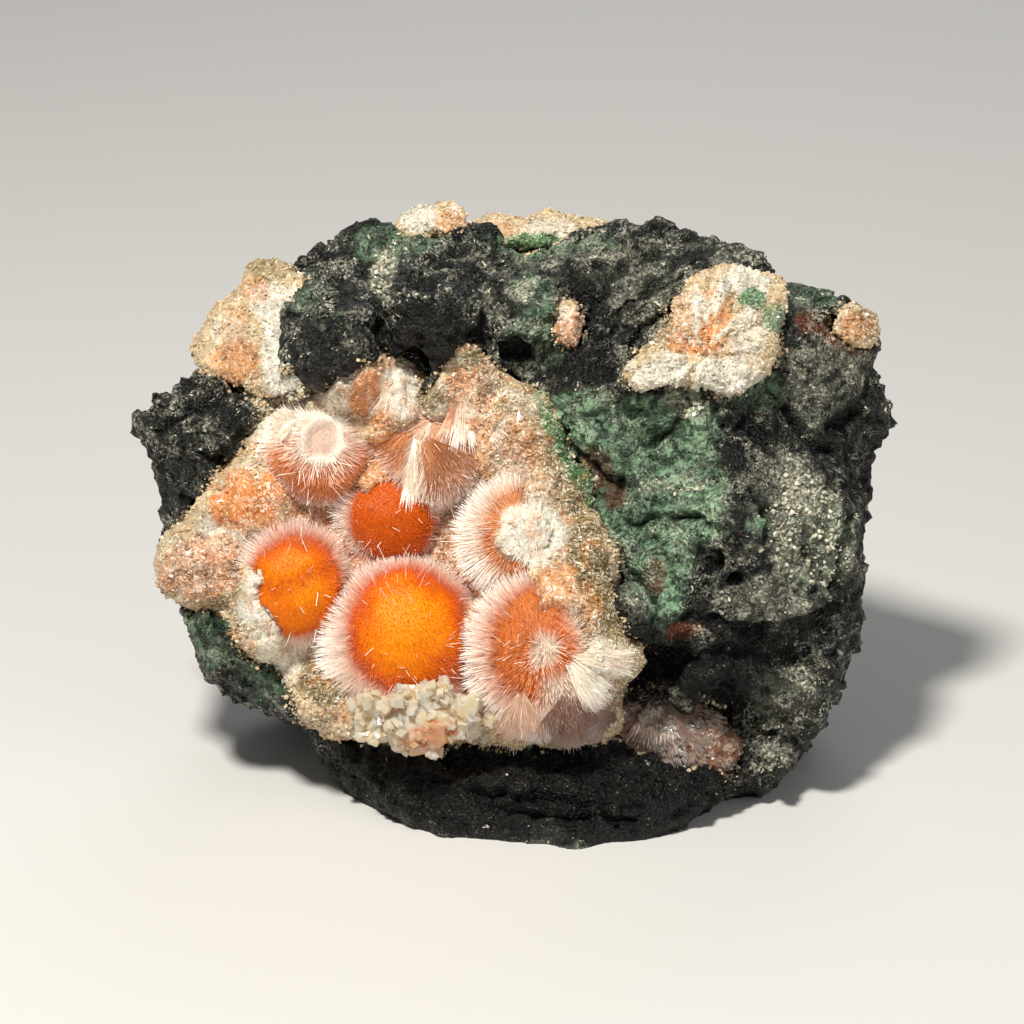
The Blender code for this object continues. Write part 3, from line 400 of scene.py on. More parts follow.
def broken(points, size, seed, steep=0.5):
    """Height of cells that each tilt and step their own way, as broken rock does, about -1 to 1."""
    rng = np.random.default_rng(seed)
    span = points.max(0) - points.min(0)
    count = int(max(40, 2.2 * (span[0] * span[2] + span[0] * span[1]) / size**2))
    chosen = points[rng.integers(0, len(points), count)]
    tree = point_tree(chosen)
    cell = np.array([tree.find(p)[1] for p in points])
    tilt = rng.normal(0, steep, (count, 3))
    step = rng.uniform(-0.5, 0.5, count)
    return ((points - chosen[cell]) / size * tilt[cell]).sum(1) + step[cell]


def tint_mask(points, patches, seed, rag=0.45):
    """How strongly each point takes a tint, with ragged edges and spots."""
    wave = ripple(points, 2.6, seed) * 0.7 + ripple(points, 0.9, seed + 1) * 0.5
    mask = np.zeros(len(points))
    for patch in patches:
        inside = 1 - ellipse(points, patch) + wave * rag
        mask = np.maximum(mask, smooth_step(-0.15, 0.45, inside) * patch[5])
    return mask


def set_attributes(mesh, **values):
    """Keeps numbers (one for all points, or one each) or vectors at the points, under their names."""
    for name, value in values.items():
        value = np.asarray(value, np.float32)
        kind, field = ("FLOAT_VECTOR", "vector") if value.ndim == 2 else ("FLOAT", "value")
        kept = mesh.attributes.get(name) or mesh.attributes.new(name, kind, "POINT")
        if value.ndim == 0:
            value = np.full(len(mesh.vertices), value)
        kept.data.foreach_set(field, value.ravel())


def get_attribute(mesh, name):
    values = np.empty(len(mesh.vertices), np.float32)
    mesh.attributes[name].data.foreach_get("value", values)
    return values.astype(float)


# ---- objects ------------------------------------------------------------------------------
def link(name, data):
    obj = bpy.data.objects.new(name, data)
    bpy.context.scene.collection.objects.link(obj)
    return obj


def evaluated(obj):
    graph = bpy.context.evaluated_depsgraph_get()
    return bpy.data.meshes.new_from_object(obj.evaluated_get(graph))


def with_modifiers(mesh, *modifiers):
    """The mesh after these modifiers, each (kind, {setting: value})."""
    obj = link("shaping", mesh)
    for kind, settings in modifiers:
        modifier = obj.modifiers.new(kind, kind)
        for name, value in settings.items():
            setattr(modifier, name, value)
    result = evaluated(obj)
    bpy.data.objects.remove(obj)
    return result


def cad_skin(node, voxel, softness=4):
    """The node's solid, lying on its face in millimetres, as one even skin."""
    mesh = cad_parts[node].data.copy()
    mesh.materials.clear()
    bm = bmesh.new()
    bm.from_mesh(mesh)
    bmesh.ops.remove_doubles(bm, verts=bm.verts, dist=1e-7)
    bm.to_mesh(mesh)
    bm.free()
    write_points(mesh, to_face(read_points(mesh)))
    skin = ("REMESH", {"mode": "VOXEL", "voxel_size": voxel})
    soft = ("SMOOTH", {"factor": 0.5, "iterations": softness})
    return with_modifiers(mesh, skin, soft)


def move_along_normals(mesh, distance):
    write_points(mesh, read_points(mesh) + read_points(mesh, "normal") * distance[:, None])


def finish_piece(obj, slot, *nodes):
    """Stands the piece up in the frame, hangs it on the root body and hides the solids it replaces."""
    placed = to_frame(read_points(obj.data))
    placed[:, 2] = np.maximum(placed[:, 2], 0)
    write_points(obj.data, placed)
    for name in ("direction", "cover", "reach", "flank"):
        if name in obj.data.attributes:
            obj.data.attributes.remove(obj.data.attributes[name])
    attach(obj, "root")
    if nodes:
        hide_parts(*nodes)
    return obj


def smooth_shaded(mesh, angle=None):
    mesh.shade_smooth()
    if angle is not None:
        mesh.set_sharp_from_angle(angle=math.radians(angle))


# ---- node trees ---------------------------------------------------------------------------
def fill(tree, node, inputs):
    """Joins a node's inputs to sockets, or sets them to values."""
    for key, value in inputs.items():
        if isinstance(value, bpy.types.NodeSocket):
            tree.links.new(value, node.inputs[key])
        else:
            node.inputs[key].default_value = value
    return node


def add(tree, kind, inputs=None, **settings):
    """A new node with its settings and its inputs filled."""
    made = tree.nodes.new(kind)
    for name, value in settings.items():
        setattr(made, name, value)
    return fill(tree, made, inputs or {})


def mixed(tree, factor, first, second, blend="MIX"):
    made = add(tree, "ShaderNodeMix", data_type="RGBA", blend_type=blend)
    colours = [v if isinstance(v, bpy.types.NodeSocket) else (*v, 1) for v in (first, second)]
    return fill(tree, made, {0: factor, 6: colours[0], 7: colours[1]}).outputs[2]


def shaded(tree, colour, shade):
    """The colour made darker or lighter by this factor."""
    grey = add(tree, "ShaderNodeCombineColor", {0: shade, 1: shade, 2: shade}).outputs[0]
    return mixed(tree, 1.0, colour, grey, "MULTIPLY")


def calculated(tree, operation, first, second=0.0):
    return add(tree, "ShaderNodeMath", {0: first, 1: second}, operation=operation).outputs[0]


def remapped(tree, value, low, high, to_low=0.0, to_high=1.0):
    made = add(tree, "ShaderNodeMapRange", {0: value, 1: low, 2: high, 3: to_low, 4: to_high})
    return made.outputs[0]


def vector(tree, operation, first, second=None, scale=None):
    made = add(tree, "ShaderNodeVectorMath", {0: first}, operation=operation)
    given = {1: second, "Scale": scale}
    return fill(tree, made, {key: value for key, value in given.items() if value is not None}).outputs[0]


def noise_at(tree, place, scale, detail=2.0, roughness=0.5):
    inputs = {"Vector": place, "Scale": scale, "Detail": detail, "Roughness": roughness}
    return add(tree, "ShaderNodeTexNoise", inputs)


def bumped(tree, strength, distance, height):
    inputs = {"Strength": strength, "Distance": distance, "Height": height}
    return add(tree, "ShaderNodeBump", inputs).outputs[0]


def millimetres(tree):
    """Object coordinates, counted in millimetres."""
    return vector(tree, "SCALE", add(tree, "ShaderNodeTexCoord").outputs["Object"], scale=1000.0)


def new_group(name, inputs, outputs):
    """A shader group with its sockets, each (name, default), and the nodes where it starts and ends."""
    group = bpy.data.node_groups.new(name, "ShaderNodeTree")
    for socket, value in inputs:
        kind = "NodeSocketFloat" if value is not None else "NodeSocketVector"
        made = group.interface.new_socket(socket, in_out="INPUT", socket_type=kind)
        if value is None:
            made.hide_value = True
        else:
            made.default_value = value
    for socket, kind in outputs:
        group.interface.new_socket(socket, in_out="OUTPUT", socket_type=kind)
    return group, add(group, "NodeGroupInput").outputs, add(group, "NodeGroupOutput")


def grain_group():
    """Mineral grain: a light and dark mottle, and a height for bumps."""
    known = bpy.data.node_groups.get("Mineral grain")
    if known:
        return known
    outputs = (("Mottle", "NodeSocketFloat"), ("Height", "NodeSocketFloat"))
    group, given, leave = new_group("Mineral grain", (("Size", 0.6),), outputs)
    place = millimetres(group)
    scale = calculated(group, "DIVIDE", 1.0, given["Size"])
    coarse = noise_at(group, place, scale, 5.0, 0.62).outputs[0]
    finer = calculated(group, "MULTIPLY", scale, 2.3)
    cells = add(group, "ShaderNodeTexVoronoi", {"Vector": place, "Scale": finer}, feature="F1").outputs
    chance = add(group, "ShaderNodeSeparateColor", {0: cells["Color"]}).outputs[1]
    spread = calculated(group, "MULTIPLY", calculated(group, "SUBTRACT", chance, 0.5), 0.3)
    height = calculated(group, "MULTIPLY", calculated(group, "SUBTRACT", 1.0, cells["Distance"]), 0.5)
    fill(group, leave, {
        "Mottle": calculated(group, "ADD", coarse, spread),
        "Height": calculated(group, "ADD", height, coarse),
    })
    return group


def glint_group():
    """Crystal faces: cells that each turn the normal their own way, and a few that shine."""
    known = bpy.data.node_groups.get("Crystal glints")
    if known:
        return known
    inputs = (("Size", 0.3), ("Turn", 0.5), ("Share", 0.2), ("Normal", None))
    outputs = (("Normal", "NodeSocketVector"), ("Shine", "NodeSocketFloat"))
    group, given, leave = new_group("Crystal glints", inputs, outputs)
    scale = calculated(group, "DIVIDE", 1.0, given["Size"])
    place = millimetres(group)
    slow = calculated(group, "MULTIPLY", scale, 0.2)
    far = calculated(group, "MULTIPLY", given["Size"], 11.0)
    wave = noise_at(group, place, slow, 1.0).outputs["Color"]
    bent = vector(group, "ADD", place, vector(group, "SCALE", wave, scale=far))
    cells = add(group, "ShaderNodeTexVoronoi", {"Vector": bent, "Scale": scale}, feature="F1")
    cells = cells.outputs["Color"]
    centred = vector(group, "SUBTRACT", cells, (0.5, 0.5, 0.5))
    turned = vector(group, "SCALE", centred, scale=given["Turn"])
    chance = add(group, "ShaderNodeSeparateColor", {0: cells}).outputs[0]
    fill(group, leave, {
        "Normal": vector(group, "NORMALIZE", vector(group, "ADD", given["Normal"], turned)),
        "Shine": calculated(group, "LESS_THAN", chance, given["Share"]),
    })
    return group


def grain_node(tree, size):
    return add(tree, "ShaderNodeGroup", {"Size": size}, node_tree=grain_group()).outputs


def glint_node(tree, size, turn, share, normal):
    inputs = {"Size": size, "Turn": turn, "Share": share, "Normal": normal}
    return add(tree, "ShaderNodeGroup", inputs, node_tree=glint_group()).outputs


def new_material(name):
    made = bpy.data.materials.new(name)
    made.use_nodes = True
    return made, made.node_tree, made.node_tree.nodes["Principled BSDF"]


def attribute(tree, name):
    return add(tree, "ShaderNodeAttribute", attribute_name=name).outputs["Fac"]


def mineral_material(name, base, tints, roughness, grain, glint, subsurface=0.0, clear=0.0, fleck=0.35):
    """A crystalline surface: tints by attribute, mottle, fine bumps and glinting faces.

    grain is its size in mm, glint is (size in mm, how far faces turn, share that shines), and
    the last argument is how much lighter the shining faces are painted, as a painted highlight."""
    made, tree, shader = new_material(name)
    mottle = grain_node(tree, grain)
    faces = glint_node(tree, *glint, bumped(tree, 0.4, grain * 0.0005, mottle["Height"]))
    broad = noise_at(tree, millimetres(tree), 0.45).outputs[0]
    shade = calculated(tree, "MULTIPLY", remapped(tree, mottle["Mottle"], 0.3, 0.8, 0.66, 1.14),
                       remapped(tree, broad, 0.3, 0.7, 0.75, 1.15))
    colour = base
    for tint_name, tint in tints:
        colour = mixed(tree, attribute(tree, tint_name), colour, tint)
    # Painted highlight: the shining faces are painted lighter as glints
    shine = calculated(tree, "MULTIPLY", faces["Shine"], fleck)
    fill(tree, shader, {
        "Base Color": mixed(tree, shine, shaded(tree, colour, shade), linear(255, 244, 222)),
        "Normal": faces["Normal"],
        "Roughness": remapped(tree, faces["Shine"], 0.0, 1.0, roughness, roughness * 0.3),
        "Subsurface Weight": subsurface,
        "Subsurface Radius": (1.0, 0.5, 0.3),
        "Subsurface Scale": 0.0012,
        "Transmission Weight": clear,
        "IOR": 1.5,
        "Coat Weight": 0.35,
        "Coat Roughness": 0.12,
    })
    return made


def needle_material(name, palette):
    """Fibres that are orange at the root and white at the tip, as far as each is told to be."""
    made, tree, shader = new_material(name)
    deep, tan, smoke, tip_tint = (attribute(tree, name) for name in ("deep", "tan", "smoke", "tip_tint"))
    orange = mixed(tree, tan, mixed(tree, deep, palette.orange[:], palette.deep_orange[:]), palette.tan[:])
    root = mixed(tree, attribute(tree, "root_tint"), palette.fringe[:], orange)
    root = mixed(tree, attribute(tree, "whiteness"), root, palette.white[:])
    # Smoky fibres darken, partly as painted shade where they lie in shadow
    root = mixed(tree, smoke, root, palette.smoke[:])
    # Painted shade darkens the needles' orange where the heart is painted darker
    half_deep = calculated(tree, "MULTIPLY", deep, 0.6)
    end = mixed(tree, half_deep, palette.orange_tip[:], palette.deep_orange[:])
    end = mixed(tree, tan, end, palette.tan[:])
    end = mixed(tree, tip_tint, palette.needle_tip[:], end)
    end = mixed(tree, calculated(tree, "MULTIPLY", smoke, 0.8), end, palette.smoke[:])
    end = mixed(tree, attribute(tree, "plain"), end, root)
    along = mixed(tree, attribute(tree, "tip"), root, end)
    colour = shaded(tree, along, remapped(tree, attribute(tree, "chance"), 0.0, 1.0, 0.75, 1.2))
    fill(tree, shader, {
        "Base Color": colour,
        # Painted light: the needles glow faintly, as if lit from within
        "Emission Color": colour,
        "Emission Strength": 0.14,
        "Specular IOR Level": remapped(tree, tip_tint, 0.0, 0.8, 0.5, 0.12),
        "Roughness": 0.28,
    })
    return made


def stored(tree, geometry, name, value):
    """The geometry with the value kept at each point under a name."""
    inputs = {"Geometry": geometry, "Name": name, "Value": value}
    return add(tree, "GeometryNodeStoreNamedAttribute", inputs, domain="POINT").outputs[0]


def named(tree, name, kind="FLOAT"):
    return add(tree, "GeometryNodeInputNamedAttribute", {"Name": name}, data_type=kind).outputs[0]


def random_value(tree, low, high, seed, kind="FLOAT"):
    plain = kind == "FLOAT"
    first = 2 if plain else 0
    inputs = {first: low, first + 1: high, "Seed": seed}
    return add(tree, "FunctionNodeRandomValue", inputs, data_type=kind).outputs[1 if plain else 0]


def strewn_points(tree, given):
    """Points all over the mesh, as many as its "cover" says."""
    density = calculated(tree, "MULTIPLY", given["Density"], named(tree, "cover"))
    inputs = {"Mesh": given["Geometry"], "Density": density, "Seed": given["Seed"]}
    made = add(tree, "GeometryNodeDistributePointsOnFaces", inputs, distribute_method="RANDOM")
    return made.outputs["Points"]


def realized(tree, leave, grown, material):
    """Ends the tree with plain meshes that have the material."""
    real = add(tree, "GeometryNodeRealizeInstances", {"Geometry": grown.outputs[0]}).outputs[0]
    dressed = add(tree, "GeometryNodeSetMaterial", {"Geometry": real, "Material": material})
    tree.links.new(dressed.outputs[0], leave.inputs[0])


def new_geometry_tree(name, sockets):
    tree = bpy.data.node_groups.new(name, "GeometryNodeTree")
    tree.is_modifier = True
    tree.interface.new_socket("Geometry", in_out="INPUT", socket_type="NodeSocketGeometry")
    for socket_name, kind, value in sockets:
        made = tree.interface.new_socket(socket_name, in_out="INPUT", socket_type=kind)
        if value is not None:
            made.default_value = value
    tree.interface.new_socket("Geometry", in_out="OUTPUT", socket_type="NodeSocketGeometry")
    return tree, add(tree, "NodeGroupInput"), add(tree, "NodeGroupOutput")


def needle_tree():
    """Grows needles on a skin, along its "direction", as long as its "reach", where its "cover" is."""
    known = bpy.data.node_groups.get("Needles")
    if known:
        return known
    tree, entry, leave = new_geometry_tree("Needles", [
        ("Density", "NodeSocketFloat", 20.0), ("Width", "NodeSocketFloat", 0.14),
        ("Jitter", "NodeSocketFloat", 0.1), ("Shortest", "NodeSocketFloat", 0.7),
        ("Taper", "NodeSocketFloat", 0.0),
        ("Seed", "NodeSocketInt", 1), ("Material", "NodeSocketMaterial", None),
    ])
    given, seed = entry.outputs, entry.outputs["Seed"]
    placed = stored(tree, strewn_points(tree, given), "chance", random_value(tree, 0.0, 1.0, seed))
    wide = random_value(tree, (-1, -1, -1), (1, 1, 1), seed, "FLOAT_VECTOR")
    wide = vector(tree, "SCALE", wide, scale=given["Jitter"])
    aim = vector(tree, "ADD", named(tree, "direction", "FLOAT_VECTOR"), wide)
    turn = add(tree, "FunctionNodeAlignRotationToVector", {"Vector": aim}, axis="Z").outputs[0]
    cone = add(tree, "GeometryNodeMeshCone", {
        "Vertices": 3, "Radius Top": given["Taper"], "Radius Bottom": 0.5, "Depth": 1.0,
    }, fill_type="NGON").outputs["Mesh"]
    place = add(tree, "GeometryNodeInputPosition").outputs[0]
    height = add(tree, "ShaderNodeSeparateXYZ", {0: place}).outputs[2]
    inputs = {"Geometry": cone, 2: height}
    extent = add(tree, "GeometryNodeAttributeStatistic", inputs, data_type="FLOAT").outputs
    tinted = stored(tree, cone, "tip", remapped(tree, height, extent["Min"], extent["Max"]))
    lift = calculated(tree, "MULTIPLY", extent["Min"], -1.0)
    offset = add(tree, "ShaderNodeCombineXYZ", {2: lift}).outputs[0]
    needle = add(tree, "GeometryNodeSetPosition", {"Geometry": tinted, "Offset": offset}).outputs[0]
    vary = random_value(tree, given["Shortest"], 1.0, calculated(tree, "ADD", seed, 7.0))
    long = calculated(tree, "MULTIPLY", named(tree, "reach"), vary)
    size = add(tree, "ShaderNodeCombineXYZ", {0: given["Width"], 1: given["Width"], 2: long}).outputs[0]
    realized(tree, leave, add(tree, "GeometryNodeInstanceOnPoints", {
        "Points": placed, "Instance": needle, "Rotation": turn, "Scale": size,
    }), given["Material"])
    return tree


def grain_tree():
    """Strews small blocky crystals on a skin, where its "cover" is."""
    known = bpy.data.node_groups.get("Grains")
    if known:
        return known
    tree, entry, leave = new_geometry_tree("Grains", [
        ("Density", "NodeSocketFloat", 2.0), ("Smallest", "NodeSocketFloat", 0.25),
        ("Largest", "NodeSocketFloat", 0.9), ("Slimness", "NodeSocketFloat", 0.7),
        ("Seed", "NodeSocketInt", 1), ("Material", "NodeSocketMaterial", None),
    ])
    given, seed = entry.outputs, entry.outputs["Seed"]
    points = strewn_points(tree, given)
    turn = random_value(tree, (0, 0, 0), (math.tau, math.tau, math.tau), seed, "FLOAT_VECTOR")
    chance = random_value(tree, 0.0, 1.0, calculated(tree, "ADD", seed, 3.0))
    few = calculated(tree, "POWER", chance, 2.2)
    size = remapped(tree, few, 0.0, 1.0, given["Smallest"], given["Largest"])
    slim = calculated(tree, "MULTIPLY", size, given["Slimness"])
    shape = add(tree, "ShaderNodeCombineXYZ", {0: slim, 1: size, 2: size}).outputs[0]
    block = add(tree, "GeometryNodeMeshCone", {
        "Vertices": 4, "Side Segments": 1, "Radius Top": 0.5, "Radius Bottom": 0.72, "Depth": 1.0,
    }, fill_type="NGON").outputs["Mesh"]
    centred = add(tree, "GeometryNodeTransform", {"Geometry": block, "Translation": (0, 0, -0.35)}).outputs[0]
    realized(tree, leave, add(tree, "GeometryNodeInstanceOnPoints", {
        "Points": points, "Instance": centred, "Rotation": turn, "Scale": shape,
    }), given["Material"])
    return tree


def grown_on(name, mesh, tree, material, **values):
    """A new object with what the geometry tree grows on the mesh, as a plain mesh."""
    obj = link(name, mesh)
    modifier = obj.modifiers.new("Growth", "NODES")
    modifier.node_group = tree
    sockets = {item.name: item.identifier for item in tree.interface.items_tree
               if item.item_type == "SOCKET" and item.in_out == "INPUT"}
    for key, value in values.items():
        modifier[sockets[key]] = value
    modifier[sockets["Material"]] = material
    grown = evaluated(obj)
    obj.modifiers.clear()
    obj.data = grown
    return obj


# ---- settings -----------------------------------------------------------------------------
def colour_property(label, words, value):
    return bpy.props.FloatVectorProperty(
        name=label, description=words, default=linear(*value), size=3, subtype="COLOR", min=0.0, max=1.0
    )


def number_property(label, words, value, kind="NONE"):
    return bpy.props.FloatProperty(name=label, description=words, default=value, min=0.0, subtype=kind)


class ThomsoniteBlockSettings(bpy.types.PropertyGroup):
    """Sizes in millimetres and colours of the basalt block."""

    skin: number_property("Skin grain", "Spacing of the block's surface points, in mm", 0.43)
    lumps: number_property("Lumps", "Height of the block's finger-wide lumps, in mm", 0.42)
    chips: number_property("Chips", "Height of its broken chips, in mm", 0.55)
    basalt: colour_property("Basalt", "Colour of the bare rock", (14, 15, 14))
    basalt_light: colour_property("Worn basalt", "Colour of the rock's worn heights", (64, 64, 55))
    celadonite: colour_property("Celadonite", "Green of the celadonite stain", (150, 187, 149))
    # Painted glints: the colour painted on the rock's shining faces
    fleck: colour_property("Flecks", "Colour of the silvery crystal flecks", (230, 228, 204))
    pale_rock: colour_property("Pale rock", "Colour of the rock under pale crystals", (150, 154, 136))
    pale: colour_property("Pale crystals", "Colour of the fine crystals strewn on the rock", (232, 224, 196))
    rust: colour_property("Rust", "Colour of the rusty spots", (122, 62, 38))


class ThomsoniteCrustSettings(bpy.types.PropertyGroup):
    """Colours of the crystals in the vug and in the filled bubbles."""

    orange: colour_property("Orange", "Colour of the balls' hearts and needle roots", (238, 120, 0))
    # Painted highlight: the lighter orange painted on the middle of the brightest caps
    glow: colour_property("Glow", "Colour of the brightest hearts", (255, 165, 0))
    orange_tip: colour_property("Orange tips", "Colour of the velvet on the balls' caps", (246, 128, 14))
    # Painted shade: the darker orange of the balls' flanks and of the ball that lies deeper
    deep_orange: colour_property("Deep orange", "Colour of the balls that lie deeper", (204, 88, 10))
    tan: colour_property("Tan", "Colour of the browner balls", (202, 140, 68))
    # A purplish colour that is partly painted shade, under the fringes and in the gaps between balls
    mauve: colour_property("Mauve", "Colour of the balls between heart and fringe", (178, 106, 84))
    clear: colour_property("Clear", "Colour of the clear crystals along the lip", (255, 228, 188))
    # Smoky colour, partly painted shade on the fibres that lie in shadow
    smoke: colour_property("Smoke", "Colour of the smoky fibres", (104, 76, 70))
    fringe: colour_property("Fringe", "Colour at the roots of the white fringe", (234, 180, 144))
    needle_tip: colour_property("Needle tips", "Colour at the tips of the fringe", (255, 251, 242))
    cream: colour_property("Cream", "Colour of the sugary crystals", (228, 200, 158))
    apricot: colour_property("Apricot", "Colour of the crystals' orange patches", (234, 148, 76))
    pink: colour_property("Pink", "Colour of the pinkish crystals", (220, 156, 116))
    white: colour_property("White", "Colour of the whitest crystals", (248, 240, 222))
    gold: colour_property("Gold", "Colour of the yellowish grains", (142, 121, 74))
    green: colour_property("Green", "Colour of green stains on the crystals", (84, 140, 92))


class ThomsoniteNeedleSettings(bpy.types.PropertyGroup):
    """How the needles grow."""

    width: number_property("Width", "Width of a needle, in mm", 0.1)
    velvet: number_property("Velvet", "Short needles on each square millimetre of a cap", 30.0)
    fringe: number_property("Fringe", "Long needles on each square millimetre of a flank", 16.0)
    stray: number_property("Stray", "Single needles on each square millimetre that stray far", 0.25)
    jitter: number_property("Jitter", "How far needles stray from their direction", 0.13)
    seed: bpy.props.IntProperty(name="Seed", description="Picks another growth of the same kind", default=4)


class ThomsoniteStageSettings(bpy.types.PropertyGroup):
    """Floor, light and camera."""

    floor: colour_property("Floor", "Colour of the plain floor", (214, 212, 208))
    lens: number_property("Lens", "Focal length of the camera, in mm", 150.0, "DISTANCE_CAMERA")
    key: number_property("Key light", "Power of the main light, in watts", 3.6, "POWER")
    fill: number_property("Fill light", "Power of the side lights, in watts", 0.6, "POWER")


def crust_tints(palette):
    """The crystals' tints, each with the colour that it brings, the last one on top."""
    tints = [(name, getattr(palette, name)[:]) for name in ("mauve", "pink", "white", "gold", "green")]
    return [*tints, ("orange", palette.apricot[:])]


# ---- the block ----------------------------------------------------------------------------
def front_share(mesh):
    """1 where the surface looks at the viewer, 0 where it looks away."""
    return smooth_step(-0.05, 0.25, -read_points(mesh, "normal")[:, 1])


def crack_depth(points, course):
    """Distance in the face's plane from a crack's course."""
    near = np.full(len(points), 1e3)
    flat = points[:, [0, 2]]
    for start, end in zip(np.array(course[:-1]), np.array(course[1:])):
        along = end - start
        share = np.clip((flat - start) @ along / (along @ along), 0, 1)
        near = np.minimum(near, np.linalg.norm(flat - start - share[:, None] * along, axis=1))
    return near


def relief(points, front):
    """Height of the face's named lumps, hollows and cracks, and how much each point is darkened: painted
    shade in the hollows, cracks and shaded patches, and darker rock on the lumps.
    """
    warp = points.copy()
    warp[:, 0] += ripple(points, 1.8, 41) * 0.5
    warp[:, 2] += ripple(points, 1.8, 42) * 0.5
    height = np.zeros(len(points))
    for lump in RELIEF:
        height += lump[5] * smooth_step(1.35, 0.45, ellipse(warp, lump))
    # Painted shade: hollows darken the rock, and so do the cracks below
    sunken = smooth_step(0.5, 1.6, -height)
    for depth, half_width, course in CRACKS:
        groove = smooth_step(half_width * 1.7, half_width * 0.3, crack_depth(warp, course))
        height -= depth * groove
        sunken = np.maximum(sunken, groove)
    # The patches add painted shade under the overhangs and along the base, and darker rock on the lumps
    for patch in BLACK:
        sunken = np.maximum(sunken, patch[5] * smooth_step(1.3, 0.5, ellipse(warp, patch)))
    return height * front, sunken * front


def thinned(mesh, weights, most):
    """The mesh with no more than so many triangles, thinned where the weights are high."""
    triangles = sum(len(polygon.vertices) - 2 for polygon in mesh.polygons)
    obj = link("thinning", mesh)
    group = obj.vertex_groups.new(name="thin")
    for level in range(1, 5):
        chosen = np.nonzero(np.round(weights * 4) == level)[0]
        group.add([int(i) for i in chosen], level / 4, "REPLACE")
    modifier = obj.modifiers.new("Thinning", "DECIMATE")
    modifier.vertex_group = "thin"
    modifier.ratio = min(1.0, most / triangles)
    result = evaluated(obj)
    bpy.data.objects.remove(obj)
    return result


def shape_block(settings):
    """The block's skin with its lumps, chips and pits, and a flat base."""
    mesh = cad_skin("basalt_matrix", settings.skin, 3)
    points = read_points(mesh)
    height = to_frame(points)[:, 2] * 1000
    free = smooth_step(0.2, 3.0, height)
    lumps = ripple(points, 4.2, 1) * 0.8 + ripple(points, 1.9, 2) * 0.8
    chips = broken(points, 6.8, 10) * 0.7 + broken(points, 3.2, 11, 0.7) * 0.7
    chips = chips + broken(points, 1.5, 12, 0.7) * 0.6
    grit = ripple(points, 0.9, 3)
    streak = points @ np.array(((0.26, 0.0, -0.62), (0.0, 0.5, 0.0), (0.18, 0.0, 0.85)))
    streaked = smooth_step(1.5, 0.4, ellipse(points, STREAKS))
    named_height, sunken = relief(points, front_share(mesh))
    move = settings.lumps * lumps + settings.chips * chips + 0.2 * grit - 0.15
    move += 0.5 * streaked * ripple(streak, 1.0, 6) + named_height
    # Kept for the material, which paints shade into the hollows, cracks and shaded patches
    set_attributes(mesh, sunken=sunken)
    move_along_normals(mesh, move * free)
    sink_vesicles(mesh, free)
    placed = to_frame(read_points(mesh))
    normals = read_points(mesh, "normal")
    c, s = math.cos(FACE_LEAN), math.sin(FACE_LEAN)
    down = normals[:, 1] * s + normals[:, 2] * c < -0.7
    placed[(height < 0.6) & down, 2] = 0.0
    placed[:, 2] = np.maximum(placed[:, 2], 0.0)
    write_points(mesh, to_face(placed))
    return thinned(mesh, 1 - front_share(mesh), MOST_BLOCK_TRIANGLES)


def sink_vesicles(mesh, free):
    """Presses small gas bubbles into the rock."""
    rng = np.random.default_rng(21)
    points = read_points(mesh)
    tree = point_tree(points)
    sink, filled = np.zeros(len(points)), np.zeros(len(points))
    for _ in range(VESICLES):
        middle = points[rng.integers(0, len(points))]
        radius = 0.5 + 1.3 * rng.random() ** 2
        full = rng.random() < 0.3
        for place, number, distance in tree.find_range(middle, radius * 1.3):
            depth = math.sqrt(max(0.0, 1 - (distance / (radius * 1.3)) ** 2)) * radius * 0.75
            sink[number] = max(sink[number], depth * (0.25 if full else 1.0))
            filled[number] = max(filled[number], full * min(1.0, depth * 2))
    move_along_normals(mesh, -sink * free)
    set_attributes(mesh, filled=filled * (1 - 0.7 * front_share(mesh)))


